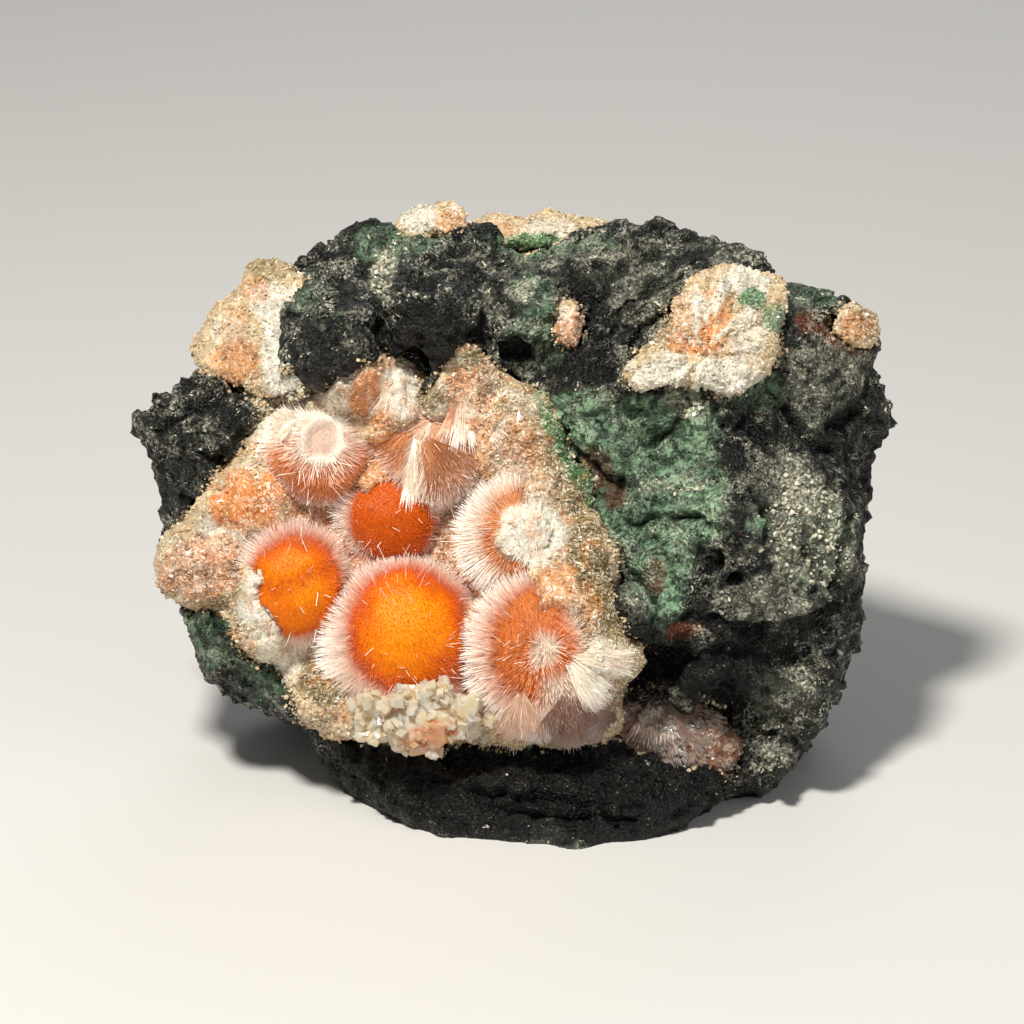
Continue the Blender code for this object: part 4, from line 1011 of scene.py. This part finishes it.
def make_block(settings, palette):
    mesh = shape_block(settings)
    points = read_points(mesh)
    front = front_share(mesh)
    for number, (name, patches) in enumerate(BLOCK_TINTS.items()):
        set_attributes(mesh, **{name: tint_mask(points, patches, 30 + number * 3) * front})
    stray = smooth_step(0.62, 0.9, ripple(points, 7.0, 50)) * smooth_step(0.1, 0.5, ripple(points, 1.4, 51))
    stray *= 0.75 * (1 - front) + 0.2
    specks = smooth_step(0.55, 0.8, ripple(points, 5.0, 52)) * smooth_step(0.35, 0.7, ripple(points, 0.8, 53))
    pale = np.maximum(get_attribute(mesh, "pale"), np.maximum(specks * 0.7, get_attribute(mesh, "filled")))
    set_attributes(mesh, celadonite=np.maximum(get_attribute(mesh, "celadonite"), stray), pale=pale)
    smooth_shaded(mesh, ROCK_EDGE)
    block = link("basalt_block", mesh)
    mesh.materials.append(basalt_material(settings))
    grains = mesh.copy()
    grains.materials.clear()
    set_attributes(grains, cover=smooth_step(0.62, 0.95, get_attribute(grains, "pale")))
    glint = (0.3, 0.3, 0.5)
    sugar = mineral_material("Pale crystals", settings.pale[:], [], 0.35, 0.5, glint, subsurface=0.1)
    strewn = grown_on("pale_crystals_on_block", grains, grain_tree(), sugar,
                      Density=3.2, Smallest=0.16, Largest=0.55, Slimness=0.8, Seed=5)
    spill = mesh.copy()
    spill.materials.clear()
    bridge = smooth_step(1.2, 0.5, ellipse(points, BRIDGE))
    set_attributes(spill, cover=np.maximum(seam_share(points, front), bridge * front))
    for name, tint in (("gold", 0.85), ("white", 0.25), ("pink", 0.2), ("orange", 0.15), ("green", 0.1)):
        set_attributes(spill, **{name: tint * smooth_step(0.0, 0.6, ripple(points, 2.4, 90 + len(name)))})
    tints, glint = crust_tints(palette), (0.3, 0.5, 0.3)
    crumbs = mineral_material("Sugar crumbs", palette.cream[:], tints, 0.4, 0.5, glint)
    spilt = grown_on("sugar_round_crystals", spill, grain_tree(), crumbs,
                     Density=9.0, Smallest=0.12, Largest=0.5, Slimness=0.75, Seed=8)
    finish_piece(block, "basalt", "basalt_matrix")
    finish_piece(strewn, "zeolite")
    finish_piece(spilt, "zeolite")


def seam_share(points, front):
    """Where the rock lies close to its crystals, so that sugar hides the seam."""
    surface = crystal_front()
    near = np.array([surface.find_nearest(Vector(p))[3] for p in points])
    wide = 0.9 + 0.6 * ripple(points, 3.0, 95)
    seam = smooth_step(1.0, 0.6, near / np.maximum(wide, 0.2)) * front
    viewer = Vector((0, -1, 0))
    for number in np.nonzero(seam)[0]:
        if surface.ray_cast(Vector(points[number]), viewer, 60.0)[0]:
            seam[number] = 0.0
    return seam


def basalt_material(settings):
    made, tree, shader = new_material("Basalt")
    place = millimetres(tree)
    grain = grain_node(tree, 0.9)
    mottle = grain["Mottle"]
    pale, sunken = attribute(tree, "pale"), attribute(tree, "sunken")

    def spots(scale, low, high, to_low, to_high, detail=2.0, roughness=0.5):
        noise_value = noise_at(tree, place, scale, detail, roughness).outputs[0]
        return remapped(tree, noise_value, low, high, to_low, to_high)

    def product(first, second):
        return calculated(tree, "MULTIPLY", first, second)

    colour = mixed(tree, remapped(tree, mottle, 0.5, 0.9), settings.basalt[:], settings.basalt_light[:])
    dusty = product(pale, remapped(tree, mottle, 0.35, 0.7, 0.25, 1.0))
    colour = mixed(tree, dusty, colour, settings.pale_rock[:])
    light = product(remapped(tree, mottle, 0.32, 0.56), spots(0.75, 0.43, 0.54, 0.04, 1.0, 4.0, 0.6))
    green = mixed(tree, light, tuple(v * 0.22 for v in settings.celadonite), settings.celadonite[:])
    stain = product(attribute(tree, "celadonite"), remapped(tree, mottle, 0.25, 0.45, 0.3, 1.0))
    colour = mixed(tree, attribute(tree, "rust"), mixed(tree, stain, colour, green), settings.rust[:])
    # Painted shade: the hollows, cracks and shaded patches darken the rock's colour
    shade = product(spots(0.16, 0.3, 0.7, 0.55, 1.3, 3.0), remapped(tree, sunken, 0.0, 1.0, 1.0, 0.3))
    colour = shaded(tree, colour, shade)
    # How many faces carry painted glints, more where real pale crystals are strewn
    share = spots(0.35, 0.47, 0.62, 0.02, 0.55, 5.0, 0.65)
    share = calculated(tree, "ADD", share, product(pale, 0.35))
    # Painted shade also thins out the glinting faces in the hollows, cracks and shaded patches
    share = product(share, remapped(tree, sunken, 0.0, 0.7, 1.0, 0.06))
    lumps = bumped(tree, 1.0, 0.0008, grain["Height"])
    faces = glint_node(tree, spots(0.9, 0.4, 0.6, 0.2, 0.46), 0.95, share, lumps)
    # Painted glint colour, turned to the pale crystals' colour where real pale specks lie and tinged green on
    # the stain
    fleck = mixed(tree, pale, settings.fleck[:], settings.pale[:])
    fleck = mixed(tree, product(stain, 0.3), fleck, settings.celadonite[:])
    shine = product(faces["Shine"], spots(2.4, 0.38, 0.62, 0.05, 1.0))
    fill(tree, shader, {
        "Base Color": mixed(tree, shine, colour, fleck),
        "Normal": faces["Normal"],
        "Roughness": remapped(tree, faces["Shine"], 0.0, 1.0, 0.42, 0.2),
        "IOR": 1.4,
    })
    return made


# ---- the vug's crust ----------------------------------------------------------------------
def ball_frame(ball):
    """A ball's centre and radii, both as (x, -out, up)."""
    across, up, out, half_width, half_height, half_depth = ball[:6]
    return np.array((across, -out, up)), np.array((half_width, half_depth, half_height))


def around(unit, axis):
    """Each direction's angle from the axis, in degrees, and the way in which it leans from it."""
    angle = np.degrees(np.arccos(np.clip(unit @ axis, -1, 1)))
    outward = unit - axis * (unit @ axis)[:, None]
    return angle, outward / (np.linalg.norm(outward, axis=1)[:, None] + 1e-6)


def buried(name, unit, axis):
    """How far sugary crust covers a ball, for points given in radii from its centre."""
    if name not in BURIED:
        return np.zeros(len(unit))
    across, up, bare, start, middle = BURIED[name]
    unit = unit / np.linalg.norm(unit, axis=1)[:, None]
    angle, outward = around(unit, axis)
    towards = outward @ np.array((across, 0, up)) / math.hypot(across, up)
    wave = ripple(unit * 8, 2.2, len(name)) + 0.6 * ripple(unit * 8, 0.8, len(name) + 2)
    side = smooth_step(bare - 0.12, bare + 0.12, towards + wave * 0.2)
    side *= smooth_step(start, start + 8, angle + wave * 5)
    return np.maximum(side, smooth_step(middle, middle - 5, angle + wave * 6) if middle else 0.0)


def cap_axis(ball):
    across, up, out = ball[6]
    return np.array((across, -out, up)) / np.linalg.norm(ball[6])


def make_ground(palette):
    """The crust's granular ground and lobes, drawn back where the balls' cores stand."""
    mesh = cad_skin("thomsonite_crust", 0.4, 3)
    points = read_points(mesh)
    near_ball = np.zeros(len(points))
    for name, ball in BALLS.items():
        centre, radii = ball_frame(ball)
        unit = (points - centre) / radii
        size = np.linalg.norm(unit, axis=1)
        on = smooth_step(1.16, 1.03, size) * (1 - buried(name, unit, cap_axis(ball)))
        sunk = centre + unit / size[:, None] * DRAWN_BACK * radii
        points = points * (1 - on[:, None]) + sunk * on[:, None]
        near_ball = np.maximum(near_ball, on)
    write_points(mesh, points)
    rough = broken(points, 2.2, 31) * 0.26 + broken(points, 0.9, 32) * 0.1 + ripple(points, 2.4, 33) * 0.25
    cut = smooth_step(1.4, 0.8, ellipse(points, CUT_FACE))
    rough = rough * (1 - 0.75 * cut) + 0.12 * cut * rays(points, CUT_FACE)
    move_along_normals(mesh, rough * (1 - 0.6 * near_ball) + 0.3 * (1 - near_ball))
    points = read_points(mesh)
    front = front_share(mesh)
    smooth = smooth_step(0.0, 0.7, ripple(points, 2.6, 61))
    for number, name in enumerate(TINT_NAMES):
        mask = tint_mask(points, CRUST_TINTS.get(name, []), 60 + number * 3)
        if name in ("orange", "white"):
            smooth = np.maximum(smooth, smooth_step(0.3, 0.8, mask))
        # Painted shade: the ground turns purplish in the gaps round the balls
        if name == "mauve":
            mask = smooth_step(0.1, 0.7, near_ball)
        elif name == "orange":
            mask = np.maximum(mask, 0.45 * smooth_step(0.3, 0.9, ripple(points, 1.7, 59)) * front)
        elif name == "white":
            mask = np.maximum(mask, 0.7 * smooth_step(0.35, 0.9, ripple(points, 1.2, 57)) * front)
        set_attributes(mesh, **{name: mask})
    set_attributes(mesh, cover=front * (1 - near_ball) * (1 - 0.88 * smooth))
    smooth_shaded(mesh)
    mesh.materials.append(crust_material("Sugary crust", palette, 0.4))
    return mesh


def crust_material(name, palette, subsurface):
    tints, glint = crust_tints(palette), (0.24, 0.7, 0.2)
    # The shining faces are painted lighter, a painted highlight
    return mineral_material(name, palette.cream[:], tints, 0.26, 0.6, glint, subsurface, fleck=0.6)


def make_core(name, ball, envelope):
    """A ball's heart as a skin that tells its needles where and how to grow."""
    bm = bmesh.new()
    bmesh.ops.create_icosphere(bm, subdivisions=5 if ball[3] < 9 else 6, radius=1)
    mesh = bpy.data.meshes.new(name)
    bm.to_mesh(mesh)
    bm.free()
    unit = read_points(mesh)
    axis = cap_axis(ball)
    angle, outward = around(unit, axis)
    centre, radii = ball_frame(ball)
    keys = np.array(PROFILES[ball[7]], float)
    wave = ripple(unit, 0.3, len(name)) * 5 + ripple(unit, 0.8, len(name) + 3) * 6
    share, root, white, tip, lie = (np.interp(angle + wave, keys[:, 0], keys[:, k]) for k in range(1, 6))
    if ball[7] == "capped":
        # Painted light: the fringe is painted whiter on its left and lower side, where the key light falls
        lit = smooth_step(0.1, 0.8, -0.85 * outward[:, 0] - 0.5 * outward[:, 2]) * smooth_step(48, 62, angle)
        white = np.maximum(white, 0.75 * lit)
    elif ball[7] == "cupped":
        low = smooth_step(0.35, -0.35, outward[:, 2])
        root, tip = root * (0.3 + 0.7 * low), tip * low
        share = share + (0.95 - share) * low * smooth_step(44, 58, angle)
        white = np.maximum(white, 0.85 * (1 - low) * smooth_step(24, 30, angle))
    elif ball[7] == "starred":
        torn = smooth_step(-0.1, 0.5, outward[:, 0] - 0.35 * outward[:, 2]) * smooth_step(14, 30, angle)
        root, tip, white = root * (1 - 0.9 * torn), tip * (1 - torn), np.maximum(white, 0.6 * torn)
    elif ball[7] == "ringed":
        worn = smooth_step(0.0, 0.7, outward[:, 0] + 0.4 * outward[:, 2])
        white, root = white * (1 - 0.4 * worn), np.maximum(root, 0.3 * worn)
        lie = lie * (1 - 0.5 * worn)
    elif ball[7] == "sprayed":
        ray = smooth_step(0.75, 0.93, -outward[:, 2] - 0.35 * outward[:, 0])
        white, root = np.maximum(white, ray), root * (1 - ray)
    direction = unit * (1 - lie)[:, None] + outward * lie[:, None]
    fine = ripple(unit * ball[3], 0.5, 2) * 0.006 + ripple(unit * ball[3], 1.6, 5) * 0.008
    under = buried(name, unit, axis)
    crease = np.zeros(len(unit))
    if name in CREASES:
        off = np.abs(unit[:, [0, 2]] @ np.array(CREASES[name]) + wave * 0.012)
        crease = smooth_step(0.26, 0.0, off) * smooth_step(62, 40, angle)
    points = centre + unit * radii * (share * (1 - 0.14 * under) - 0.045 * crease + fine)[:, None]
    write_points(mesh, points)
    tips = centre + unit * radii * 0.99
    shown = np.array([envelope.find_nearest(Vector(place))[3] < 0.9 for place in tips])
    facing = smooth_step(-0.55, -0.2, -unit[:, 1])
    hollow = smooth_step(24, 26, angle) if ball[7] == "cupped" else 1.0
    reach = (1.0 - share) * radii.mean() / np.maximum(0.45, 1 - 0.55 * lie)
    longer = smooth_step(0.0, 0.8, -0.6 * outward[:, 0] - 0.8 * outward[:, 2]) * smooth_step(40, 70, angle)
    # Painted shade: a ball's flanks darken, and all of a ball that lies deeper
    deep = np.maximum(0.5 * smooth_step(26, 54, angle + wave * 2), max(-ball[8], 0.0))
    # The cap's middle is painted lighter as a painted highlight, and the crease painted darker as painted
    # shade
    set_attributes(
        mesh, cover=shown * facing * hollow * (under < 0.5), flank=smooth_step(0.93, 0.86, share),
        reach=reach * (1 + 0.22 * longer), direction=direction, root_tint=root, tip_tint=tip, whiteness=white,
        glow=smooth_step(52, 8, angle + wave * 2) * max(ball[8], 0.0) * (1 - 0.7 * crease),
        deep=np.maximum(deep, 0.5 * crease), tan=TAN.get(name, 0.0),
    )
    smooth_shaded(mesh)
    return mesh


def core_material(palette):
    made, tree, shader = new_material("Thomsonite heart")
    grain = grain_node(tree, 0.35)
    # Painted shade darkens the heart's orange on its flanks, in the crease and on the deeper ball
    orange = mixed(tree, attribute(tree, "deep"), palette.orange[:], palette.deep_orange[:])
    orange = mixed(tree, attribute(tree, "tan"), orange, palette.tan[:])
    # Where the fringe grows, the heart takes the purplish colour, partly painted shade under the needles
    colour = mixed(tree, attribute(tree, "root_tint"), palette.mauve[:], orange)
    # Painted highlight: the middle of the brightest caps is painted lighter
    colour = mixed(tree, attribute(tree, "glow"), colour, palette.glow[:])
    colour = mixed(tree, attribute(tree, "whiteness"), colour, palette.white[:])
    fill(tree, shader, {
        "Base Color": shaded(tree, colour, remapped(tree, grain["Mottle"], 0.35, 0.8, 0.8, 1.15)),
        "Normal": bumped(tree, 0.4, 0.0002, grain["Height"]),
        "Roughness": 0.45,
        "Specular IOR Level": 0.25,
        "Subsurface Weight": 0.3,
        "Subsurface Radius": (1.0, 0.35, 0.1),
        "Subsurface Scale": 0.0016,
    })
    return made


def joined(name, meshes):
    """One object with all the meshes and their attributes."""
    objects = [link(name, mesh) for mesh in meshes]
    chosen = {"selected_objects": objects, "selected_editable_objects": objects}
    with bpy.context.temp_override(active_object=objects[0], object=objects[0], **chosen):
        bpy.ops.object.join()
    return objects[0]


def make_balls(palette, growth):
    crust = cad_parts["thomsonite_crust"].data
    places = to_face(read_points(crust))
    envelope = BVHTree.FromPolygons([Vector(p) for p in places], [tuple(p.vertices) for p in crust.polygons])
    material = needle_material("Thomsonite needles", palette)
    hearts = joined("ball_hearts", [make_core(name, ball, envelope) for name, ball in BALLS.items()])
    cover, flank, reach = (get_attribute(hearts.data, name) for name in ("cover", "flank", "reach"))
    velvet, fringe, stray = (hearts.data.copy() for _ in range(3))
    set_attributes(velvet, cover=cover * (1 - flank))
    set_attributes(fringe, cover=cover * flank)
    set_attributes(stray, reach=reach + STRAY_REACH, whiteness=0.9, tip_tint=0.0)

    def grow(name, skin, **values):
        finish_piece(grown_on(name, skin, needle_tree(), material, **values), "thomsonite")

    grow("velvet_needles", velvet, Density=growth.velvet, Width=growth.width * 0.8,
         Jitter=growth.jitter * 1.6, Shortest=0.4, Taper=0.0, Seed=growth.seed)
    grow("fringe_needles", fringe, Density=growth.fringe, Width=growth.width,
         Jitter=growth.jitter, Shortest=0.72, Taper=0.2, Seed=growth.seed)
    grow("stray_needles", stray, Density=growth.stray, Width=growth.width,
         Jitter=growth.jitter * 5, Shortest=0.35, Taper=0.3, Seed=growth.seed + 1)
    hearts.data.materials.append(core_material(palette))
    finish_piece(hearts, "thomsonite")


def crystal_front():
    """All crystals' solids as one surface on the face, to lay fibres on."""
    vertices, faces = [], []
    for node in ("thomsonite_crust", *PATCHES):
        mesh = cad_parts[node].data
        start = len(vertices)
        vertices += [Vector(p) for p in to_face(read_points(mesh))]
        faces += [tuple(start + i for i in polygon.vertices) for polygon in mesh.polygons]
    return BVHTree.FromPolygons(vertices, faces)


def fan_sheet(surface, apex, first, last, inner, outer, orange, white, smoke=0.0):
    """A sector draped over the crystals whose fibres run out from its apex."""
    rings, steps = FAN_RINGS, max(6, int(abs(last - first) / FAN_STEP))
    bm = bmesh.new()
    grid = []
    for ring in range(rings):
        row = []
        for ray in range(steps + 1):
            turn = math.radians(first + (last - first) * ray / steps)
            radius = inner + (outer - inner) * ring / (rings - 1)
            across, up = apex[0] + radius * math.cos(turn), apex[1] + radius * math.sin(turn)
            hit = surface.ray_cast(Vector((across, -60.0, up)), Vector((0, 1, 0)), 58.0)[0]
            row.append(bm.verts.new(hit + Vector((0, -0.1, 0)) if hit else (across, 1e3, up)))
        grid.append(row)
    for ring in range(rings - 1):
        for ray in range(steps):
            corners = (grid[ring][ray], grid[ring][ray + 1], grid[ring + 1][ray + 1], grid[ring + 1][ray])
            depths = [corner.co.y for corner in corners]
            if max(depths) < 500 and max(depths) - min(depths) < FAN_DROP:
                bm.faces.new(corners)
    places = np.array([v.co for row in grid for v in row]).reshape(rings, steps + 1, 3)
    along = np.gradient(places, axis=0)
    along[np.abs(along[:, :, 1]) > FAN_DROP] = 0
    along /= np.linalg.norm(along, axis=2)[:, :, None] + 1e-6
    mesh = bpy.data.meshes.new("fan")
    bm.to_mesh(mesh)
    bm.free()
    share = np.repeat(np.linspace(0, 1, rings), steps + 1)
    set_attributes(
        mesh, direction=along.reshape(-1, 3) + np.array((0, -0.16, 0)), reach=min(2.6, (outer - inner) * 0.5),
        cover=1.0, root_tint=orange * (1 - 0.5 * share), tip_tint=orange * 0.7 * (1 - share), whiteness=white,
        smoke=smoke, plain=smooth_step(0.95, 0.6, share), tan=0.6,
    )
    return mesh


def make_fans(growth):
    surface = crystal_front()
    source = joined("fan_sheets", [fan_sheet(surface, *fan) for fan in FANS])
    sheets = source.data
    bpy.data.objects.remove(source)
    fans = grown_on("fibre_fans", sheets, needle_tree(), bpy.data.materials["Thomsonite needles"],
                    Density=30.0, Width=growth.width * 0.9, Jitter=0.1, Shortest=0.5, Taper=0.15,
                    Seed=growth.seed)
    finish_piece(fans, "thomsonite")


# ---- crystals and patches -----------------------------------------------------------------
def make_clear_crystals(palette):
    """The lip's crystals as a faceted, grown-together mass, with small ones on it."""
    mesh = cad_skin("clear_crystals", 0.2, 1)
    points = read_points(mesh)
    facets = broken(points, 2.4, 13, 0.75) * 0.65 + broken(points, 1.1, 14, 0.6) * 0.2
    move_along_normals(mesh, facets + 0.25)
    points = read_points(mesh)
    set_attributes(mesh, orange=tint_mask(points, [LIP_ORANGE], 97, 0.9), cover=front_share(mesh))
    smooth_shaded(mesh, LIP_EDGE)
    glass = clear_material(palette)
    grains = mesh.copy()
    mesh.materials.append(glass)
    finish_piece(link("lip_crystals", mesh), "clear_crystal", "clear_crystals")
    small = grown_on("small_lip_crystals", grains, grain_tree(), glass,
                     Density=0.5, Smallest=0.3, Largest=1.6, Slimness=0.75, Seed=12)
    finish_piece(small, "clear_crystal")


def clear_material(palette):
    made, tree, shader = new_material("Clear crystal")
    place = millimetres(tree)
    veil = noise_at(tree, place, 0.55, 4.0).outputs[0]
    colour = mixed(tree, remapped(tree, veil, 0.4, 0.65), palette.clear[:], palette.white[:])
    fill(tree, shader, {
        "Base Color": mixed(tree, attribute(tree, "orange"), colour, palette.orange_tip[:]),
        "Normal": bumped(tree, 0.25, 0.0002, noise_at(tree, place, 1.6, 3.0).outputs[0]),
        "Roughness": 0.16,
        "IOR": 1.48,
        "Transmission Weight": 0.35,
        "Subsurface Weight": 0.6,
        "Subsurface Radius": (1.0, 0.8, 0.6),
        "Subsurface Scale": 0.002,
    })
    return made


def rays(points, apex):
    """How far blades that run out from the apex stand up, about -1 to 1."""
    across, up = points[:, 0] - apex[0], points[:, 2] - apex[1]
    far = np.hypot(across, up)
    turn = np.arctan2(up, across)
    round_apex = np.column_stack([np.cos(turn) * 4, np.sin(turn) * 4, far * 0.2])
    return ripple(round_apex, 0.8, 77) * smooth_step(0.4, 2.0, far)


def make_patch(node, slot, sugar, loose):
    """A filled bubble or vein: a skin of one sugary material with loose grains of another on it."""
    tints = PATCHES[node]
    mesh = cad_skin(node, 0.25, 2)
    points = read_points(mesh)
    rough = broken(points, 1.1, 71) * 0.2 + ripple(points, 1.6, 72) * 0.15
    small = node not in ("zeolite_vein", "right_amygdule", "pocket_spray")
    blades = rays(points, RAY_APEX) * (node == "right_amygdule")
    move_along_normals(mesh, rough + (0.1 if small else 0.3) + 0.3 * blades)
    for number, name in enumerate(TINT_NAMES):
        mask = tint_mask(points, tints.get(name, []), 80 + number * 3)
        if name == "white":
            mask = np.maximum(mask, 0.8 * smooth_step(0.05, 0.5, blades))
        elif name == "orange":
            mask *= smooth_step(0.4, -0.1, blades)
        set_attributes(mesh, **{name: mask})
    top = smooth_step(0.1, 0.5, read_points(mesh, "normal")[:, 2])
    set_attributes(mesh, cover=np.maximum(front_share(mesh), top))
    smooth_shaded(mesh)
    grains = mesh.copy()
    mesh.materials.append(sugar)
    finish_piece(link(node + "_skin", mesh), slot, node)
    strewn = grown_on(node + "_grains", grains, grain_tree(), loose,
                      Density=5.0, Smallest=0.12, Largest=0.55, Slimness=0.7, Seed=len(node))
    finish_piece(strewn, slot)


# ---- stage --------------------------------------------------------------------------------
def soft_light(name, place, size, watts, tint=(1.0, 1.0, 1.0)):
    data = bpy.data.lights.new(name, "AREA")
    data.shape = "DISK"
    data.size = size
    data.energy = watts
    data.color = tint
    lamp = link(name, data)
    lamp.location = place
    lamp.rotation_euler = (Vector(LIGHT_AIM) - Vector(place)).to_track_quat("-Z", "Y").to_euler()


def make_stage(settings):
    bm = bmesh.new()
    bmesh.ops.create_grid(bm, x_segments=1, y_segments=1, size=3.0)
    mesh = bpy.data.meshes.new("floor")
    bm.to_mesh(mesh)
    bm.free()
    floor = link("floor", mesh)
    material, tree, shader = new_material("Pale floor")
    fill(tree, shader, {"Base Color": (*settings.floor, 1), "Roughness": 0.8})
    mesh.materials.append(material)
    world = bpy.data.worlds.new("Studio")
    world.use_nodes = True
    tree = world.node_tree
    fill(tree, tree.nodes["Background"], {"Color": (0.8, 0.82, 0.85, 1), "Strength": 0.2})
    bpy.context.scene.world = world
    soft_light("key", (-0.13, -0.22, 0.5), 0.09, settings.key, (1.0, 0.97, 0.91))
    soft_light("fill", (0.45, -0.35, 0.25), 0.4, settings.fill)
    soft_light("rim", (0.1, 0.5, 0.4), 0.35, settings.fill)
    data = bpy.data.cameras.new("camera")
    data.lens = settings.lens
    data.sensor_width = SENSOR
    data.clip_start = 0.01
    camera = link("camera", data)
    back = Vector((0, -math.cos(FACE_LEAN), math.sin(FACE_LEAN)))
    distance = PHOTO * MM_PER_PIXEL / 1000 * settings.lens / SENSOR
    camera.location = Vector(FACE_ORIGIN / 1000) + back * distance
    camera.rotation_euler = (-back).to_track_quat("-Z", "Y").to_euler()
    data.shift_x = (PHOTO / 2 - PHOTO_CENTRE[0]) / PHOTO
    data.shift_y = (PHOTO_CENTRE[1] - PHOTO / 2) / PHOTO
    bpy.context.scene.camera = camera
    bpy.context.scene.view_settings.view_transform = "Standard"


# ---- operators ----------------------------------------------------------------------------
class THOMSONITE_OT_block(bpy.types.Operator):
    """Makes the basalt block with its stains and strewn crystals"""

    bl_idname = "thomsonite.block"
    bl_label = "Basalt block"

    def execute(self, context):
        scene = context.scene
        make_block(scene.thomsonite_block, scene.thomsonite_crust)
        return {"FINISHED"}


class THOMSONITE_OT_crust(bpy.types.Operator):
    """Makes the sugary ground of the vug and its grains"""

    bl_idname = "thomsonite.crust"
    bl_label = "Vug crust"

    def execute(self, context):
        palette = context.scene.thomsonite_crust
        ground = make_ground(palette)
        grains = ground.copy()
        sugar = crust_material("Crust grains", palette, 0.0)
        finish_piece(link("crust_ground", ground), "thomsonite", "thomsonite_crust")
        strewn = grown_on("crust_grains", grains, grain_tree(), sugar,
                          Density=6.5, Smallest=0.12, Largest=0.6, Slimness=0.7, Seed=9)
        finish_piece(strewn, "thomsonite")
        return {"FINISHED"}


class THOMSONITE_OT_balls(bpy.types.Operator):
    """Makes the balls of needles and their orange hearts"""

    bl_idname = "thomsonite.balls"
    bl_label = "Thomsonite balls"

    def execute(self, context):
        scene = context.scene
        make_balls(scene.thomsonite_crust, scene.thomsonite_needles)
        return {"FINISHED"}


class THOMSONITE_OT_fans(bpy.types.Operator):
    """Makes the fans of long fibres"""

    bl_idname = "thomsonite.fans"
    bl_label = "Fibre fans"

    def execute(self, context):
        scene = context.scene
        make_fans(scene.thomsonite_needles)
        return {"FINISHED"}


class THOMSONITE_OT_clear(bpy.types.Operator):
    """Makes the clear crystals along the crust's lower lip"""

    bl_idname = "thomsonite.clear"
    bl_label = "Clear crystals"

    def execute(self, context):
        make_clear_crystals(context.scene.thomsonite_crust)
        return {"FINISHED"}


class THOMSONITE_OT_patches(bpy.types.Operator):
    """Makes the vein, the filled bubbles and the smoky spray"""

    bl_idname = "thomsonite.patches"
    bl_label = "Vein and filled bubbles"

    def execute(self, context):
        palette = context.scene.thomsonite_crust
        tints = crust_tints(palette)
        # Both sugars have their shining faces painted lighter as painted highlights
        sugar, loose = (
            mineral_material(name, palette.cream[:], tints, 0.26, 0.6, (0.24, 0.6, 0.18), inner, fleck=0.5)
            for name, inner in (("Zeolite sugar", 0.35), ("Zeolite grains", 0.0))
        )
        # The pocket's spray is smoky and darkened with painted shade, as it lies in shadow
        smoky = mineral_material(
            "Smoky zeolite", linear(88, 74, 72), tints, 0.2, 1.2, (0.6, 0.3, 0.4), clear=0.35
        )
        for node in PATCHES:
            slot = {"zeolite_vein": "zeolite", "pocket_spray": "smoky_zeolite"}.get(node, "amygdule")
            make_patch(node, slot, *((smoky, smoky) if node == "pocket_spray" else (sugar, loose)))
        return {"FINISHED"}


class THOMSONITE_OT_stage(bpy.types.Operator):
    """Makes the pale floor, the soft lights and the camera"""

    bl_idname = "thomsonite.stage"
    bl_label = "Stage"

    def execute(self, context):
        make_stage(context.scene.thomsonite_stage)
        return {"FINISHED"}


SETTINGS = {
    "thomsonite_block": ThomsoniteBlockSettings,
    "thomsonite_crust": ThomsoniteCrustSettings,
    "thomsonite_needles": ThomsoniteNeedleSettings,
    "thomsonite_stage": ThomsoniteStageSettings,
}
OPERATORS = (
    THOMSONITE_OT_stage,
    THOMSONITE_OT_block,
    THOMSONITE_OT_crust,
    THOMSONITE_OT_balls,
    THOMSONITE_OT_fans,
    THOMSONITE_OT_clear,
    THOMSONITE_OT_patches,
)


class THOMSONITE_PT_panel(bpy.types.Panel):
    """Lists the specimen's settings and pieces"""

    bl_label = "Thomsonite specimen"
    bl_idname = "THOMSONITE_PT_panel"
    bl_space_type = "VIEW_3D"
    bl_region_type = "UI"
    bl_category = "Thomsonite"

    def draw(self, context):
        for operator in OPERATORS:
            self.layout.operator(operator.bl_idname)
        for name, group in SETTINGS.items():
            box = self.layout.box()
            for field in group.__annotations__:
                box.prop(getattr(context.scene, name), field)


def register():
    for name, group in SETTINGS.items():
        bpy.utils.register_class(group)
        setattr(bpy.types.Scene, name, bpy.props.PointerProperty(type=group))
    for made in (*OPERATORS, THOMSONITE_PT_panel):
        bpy.utils.register_class(made)


def unregister():
    for made in (THOMSONITE_PT_panel, *reversed(OPERATORS)):
        bpy.utils.unregister_class(made)
    for name, group in SETTINGS.items():
        delattr(bpy.types.Scene, name)
        bpy.utils.unregister_class(group)


def main():
    register()
    for operator in OPERATORS:
        getattr(bpy.ops.thomsonite, operator.bl_idname.split(".")[1])()


if __name__ == "__main__":
    main()
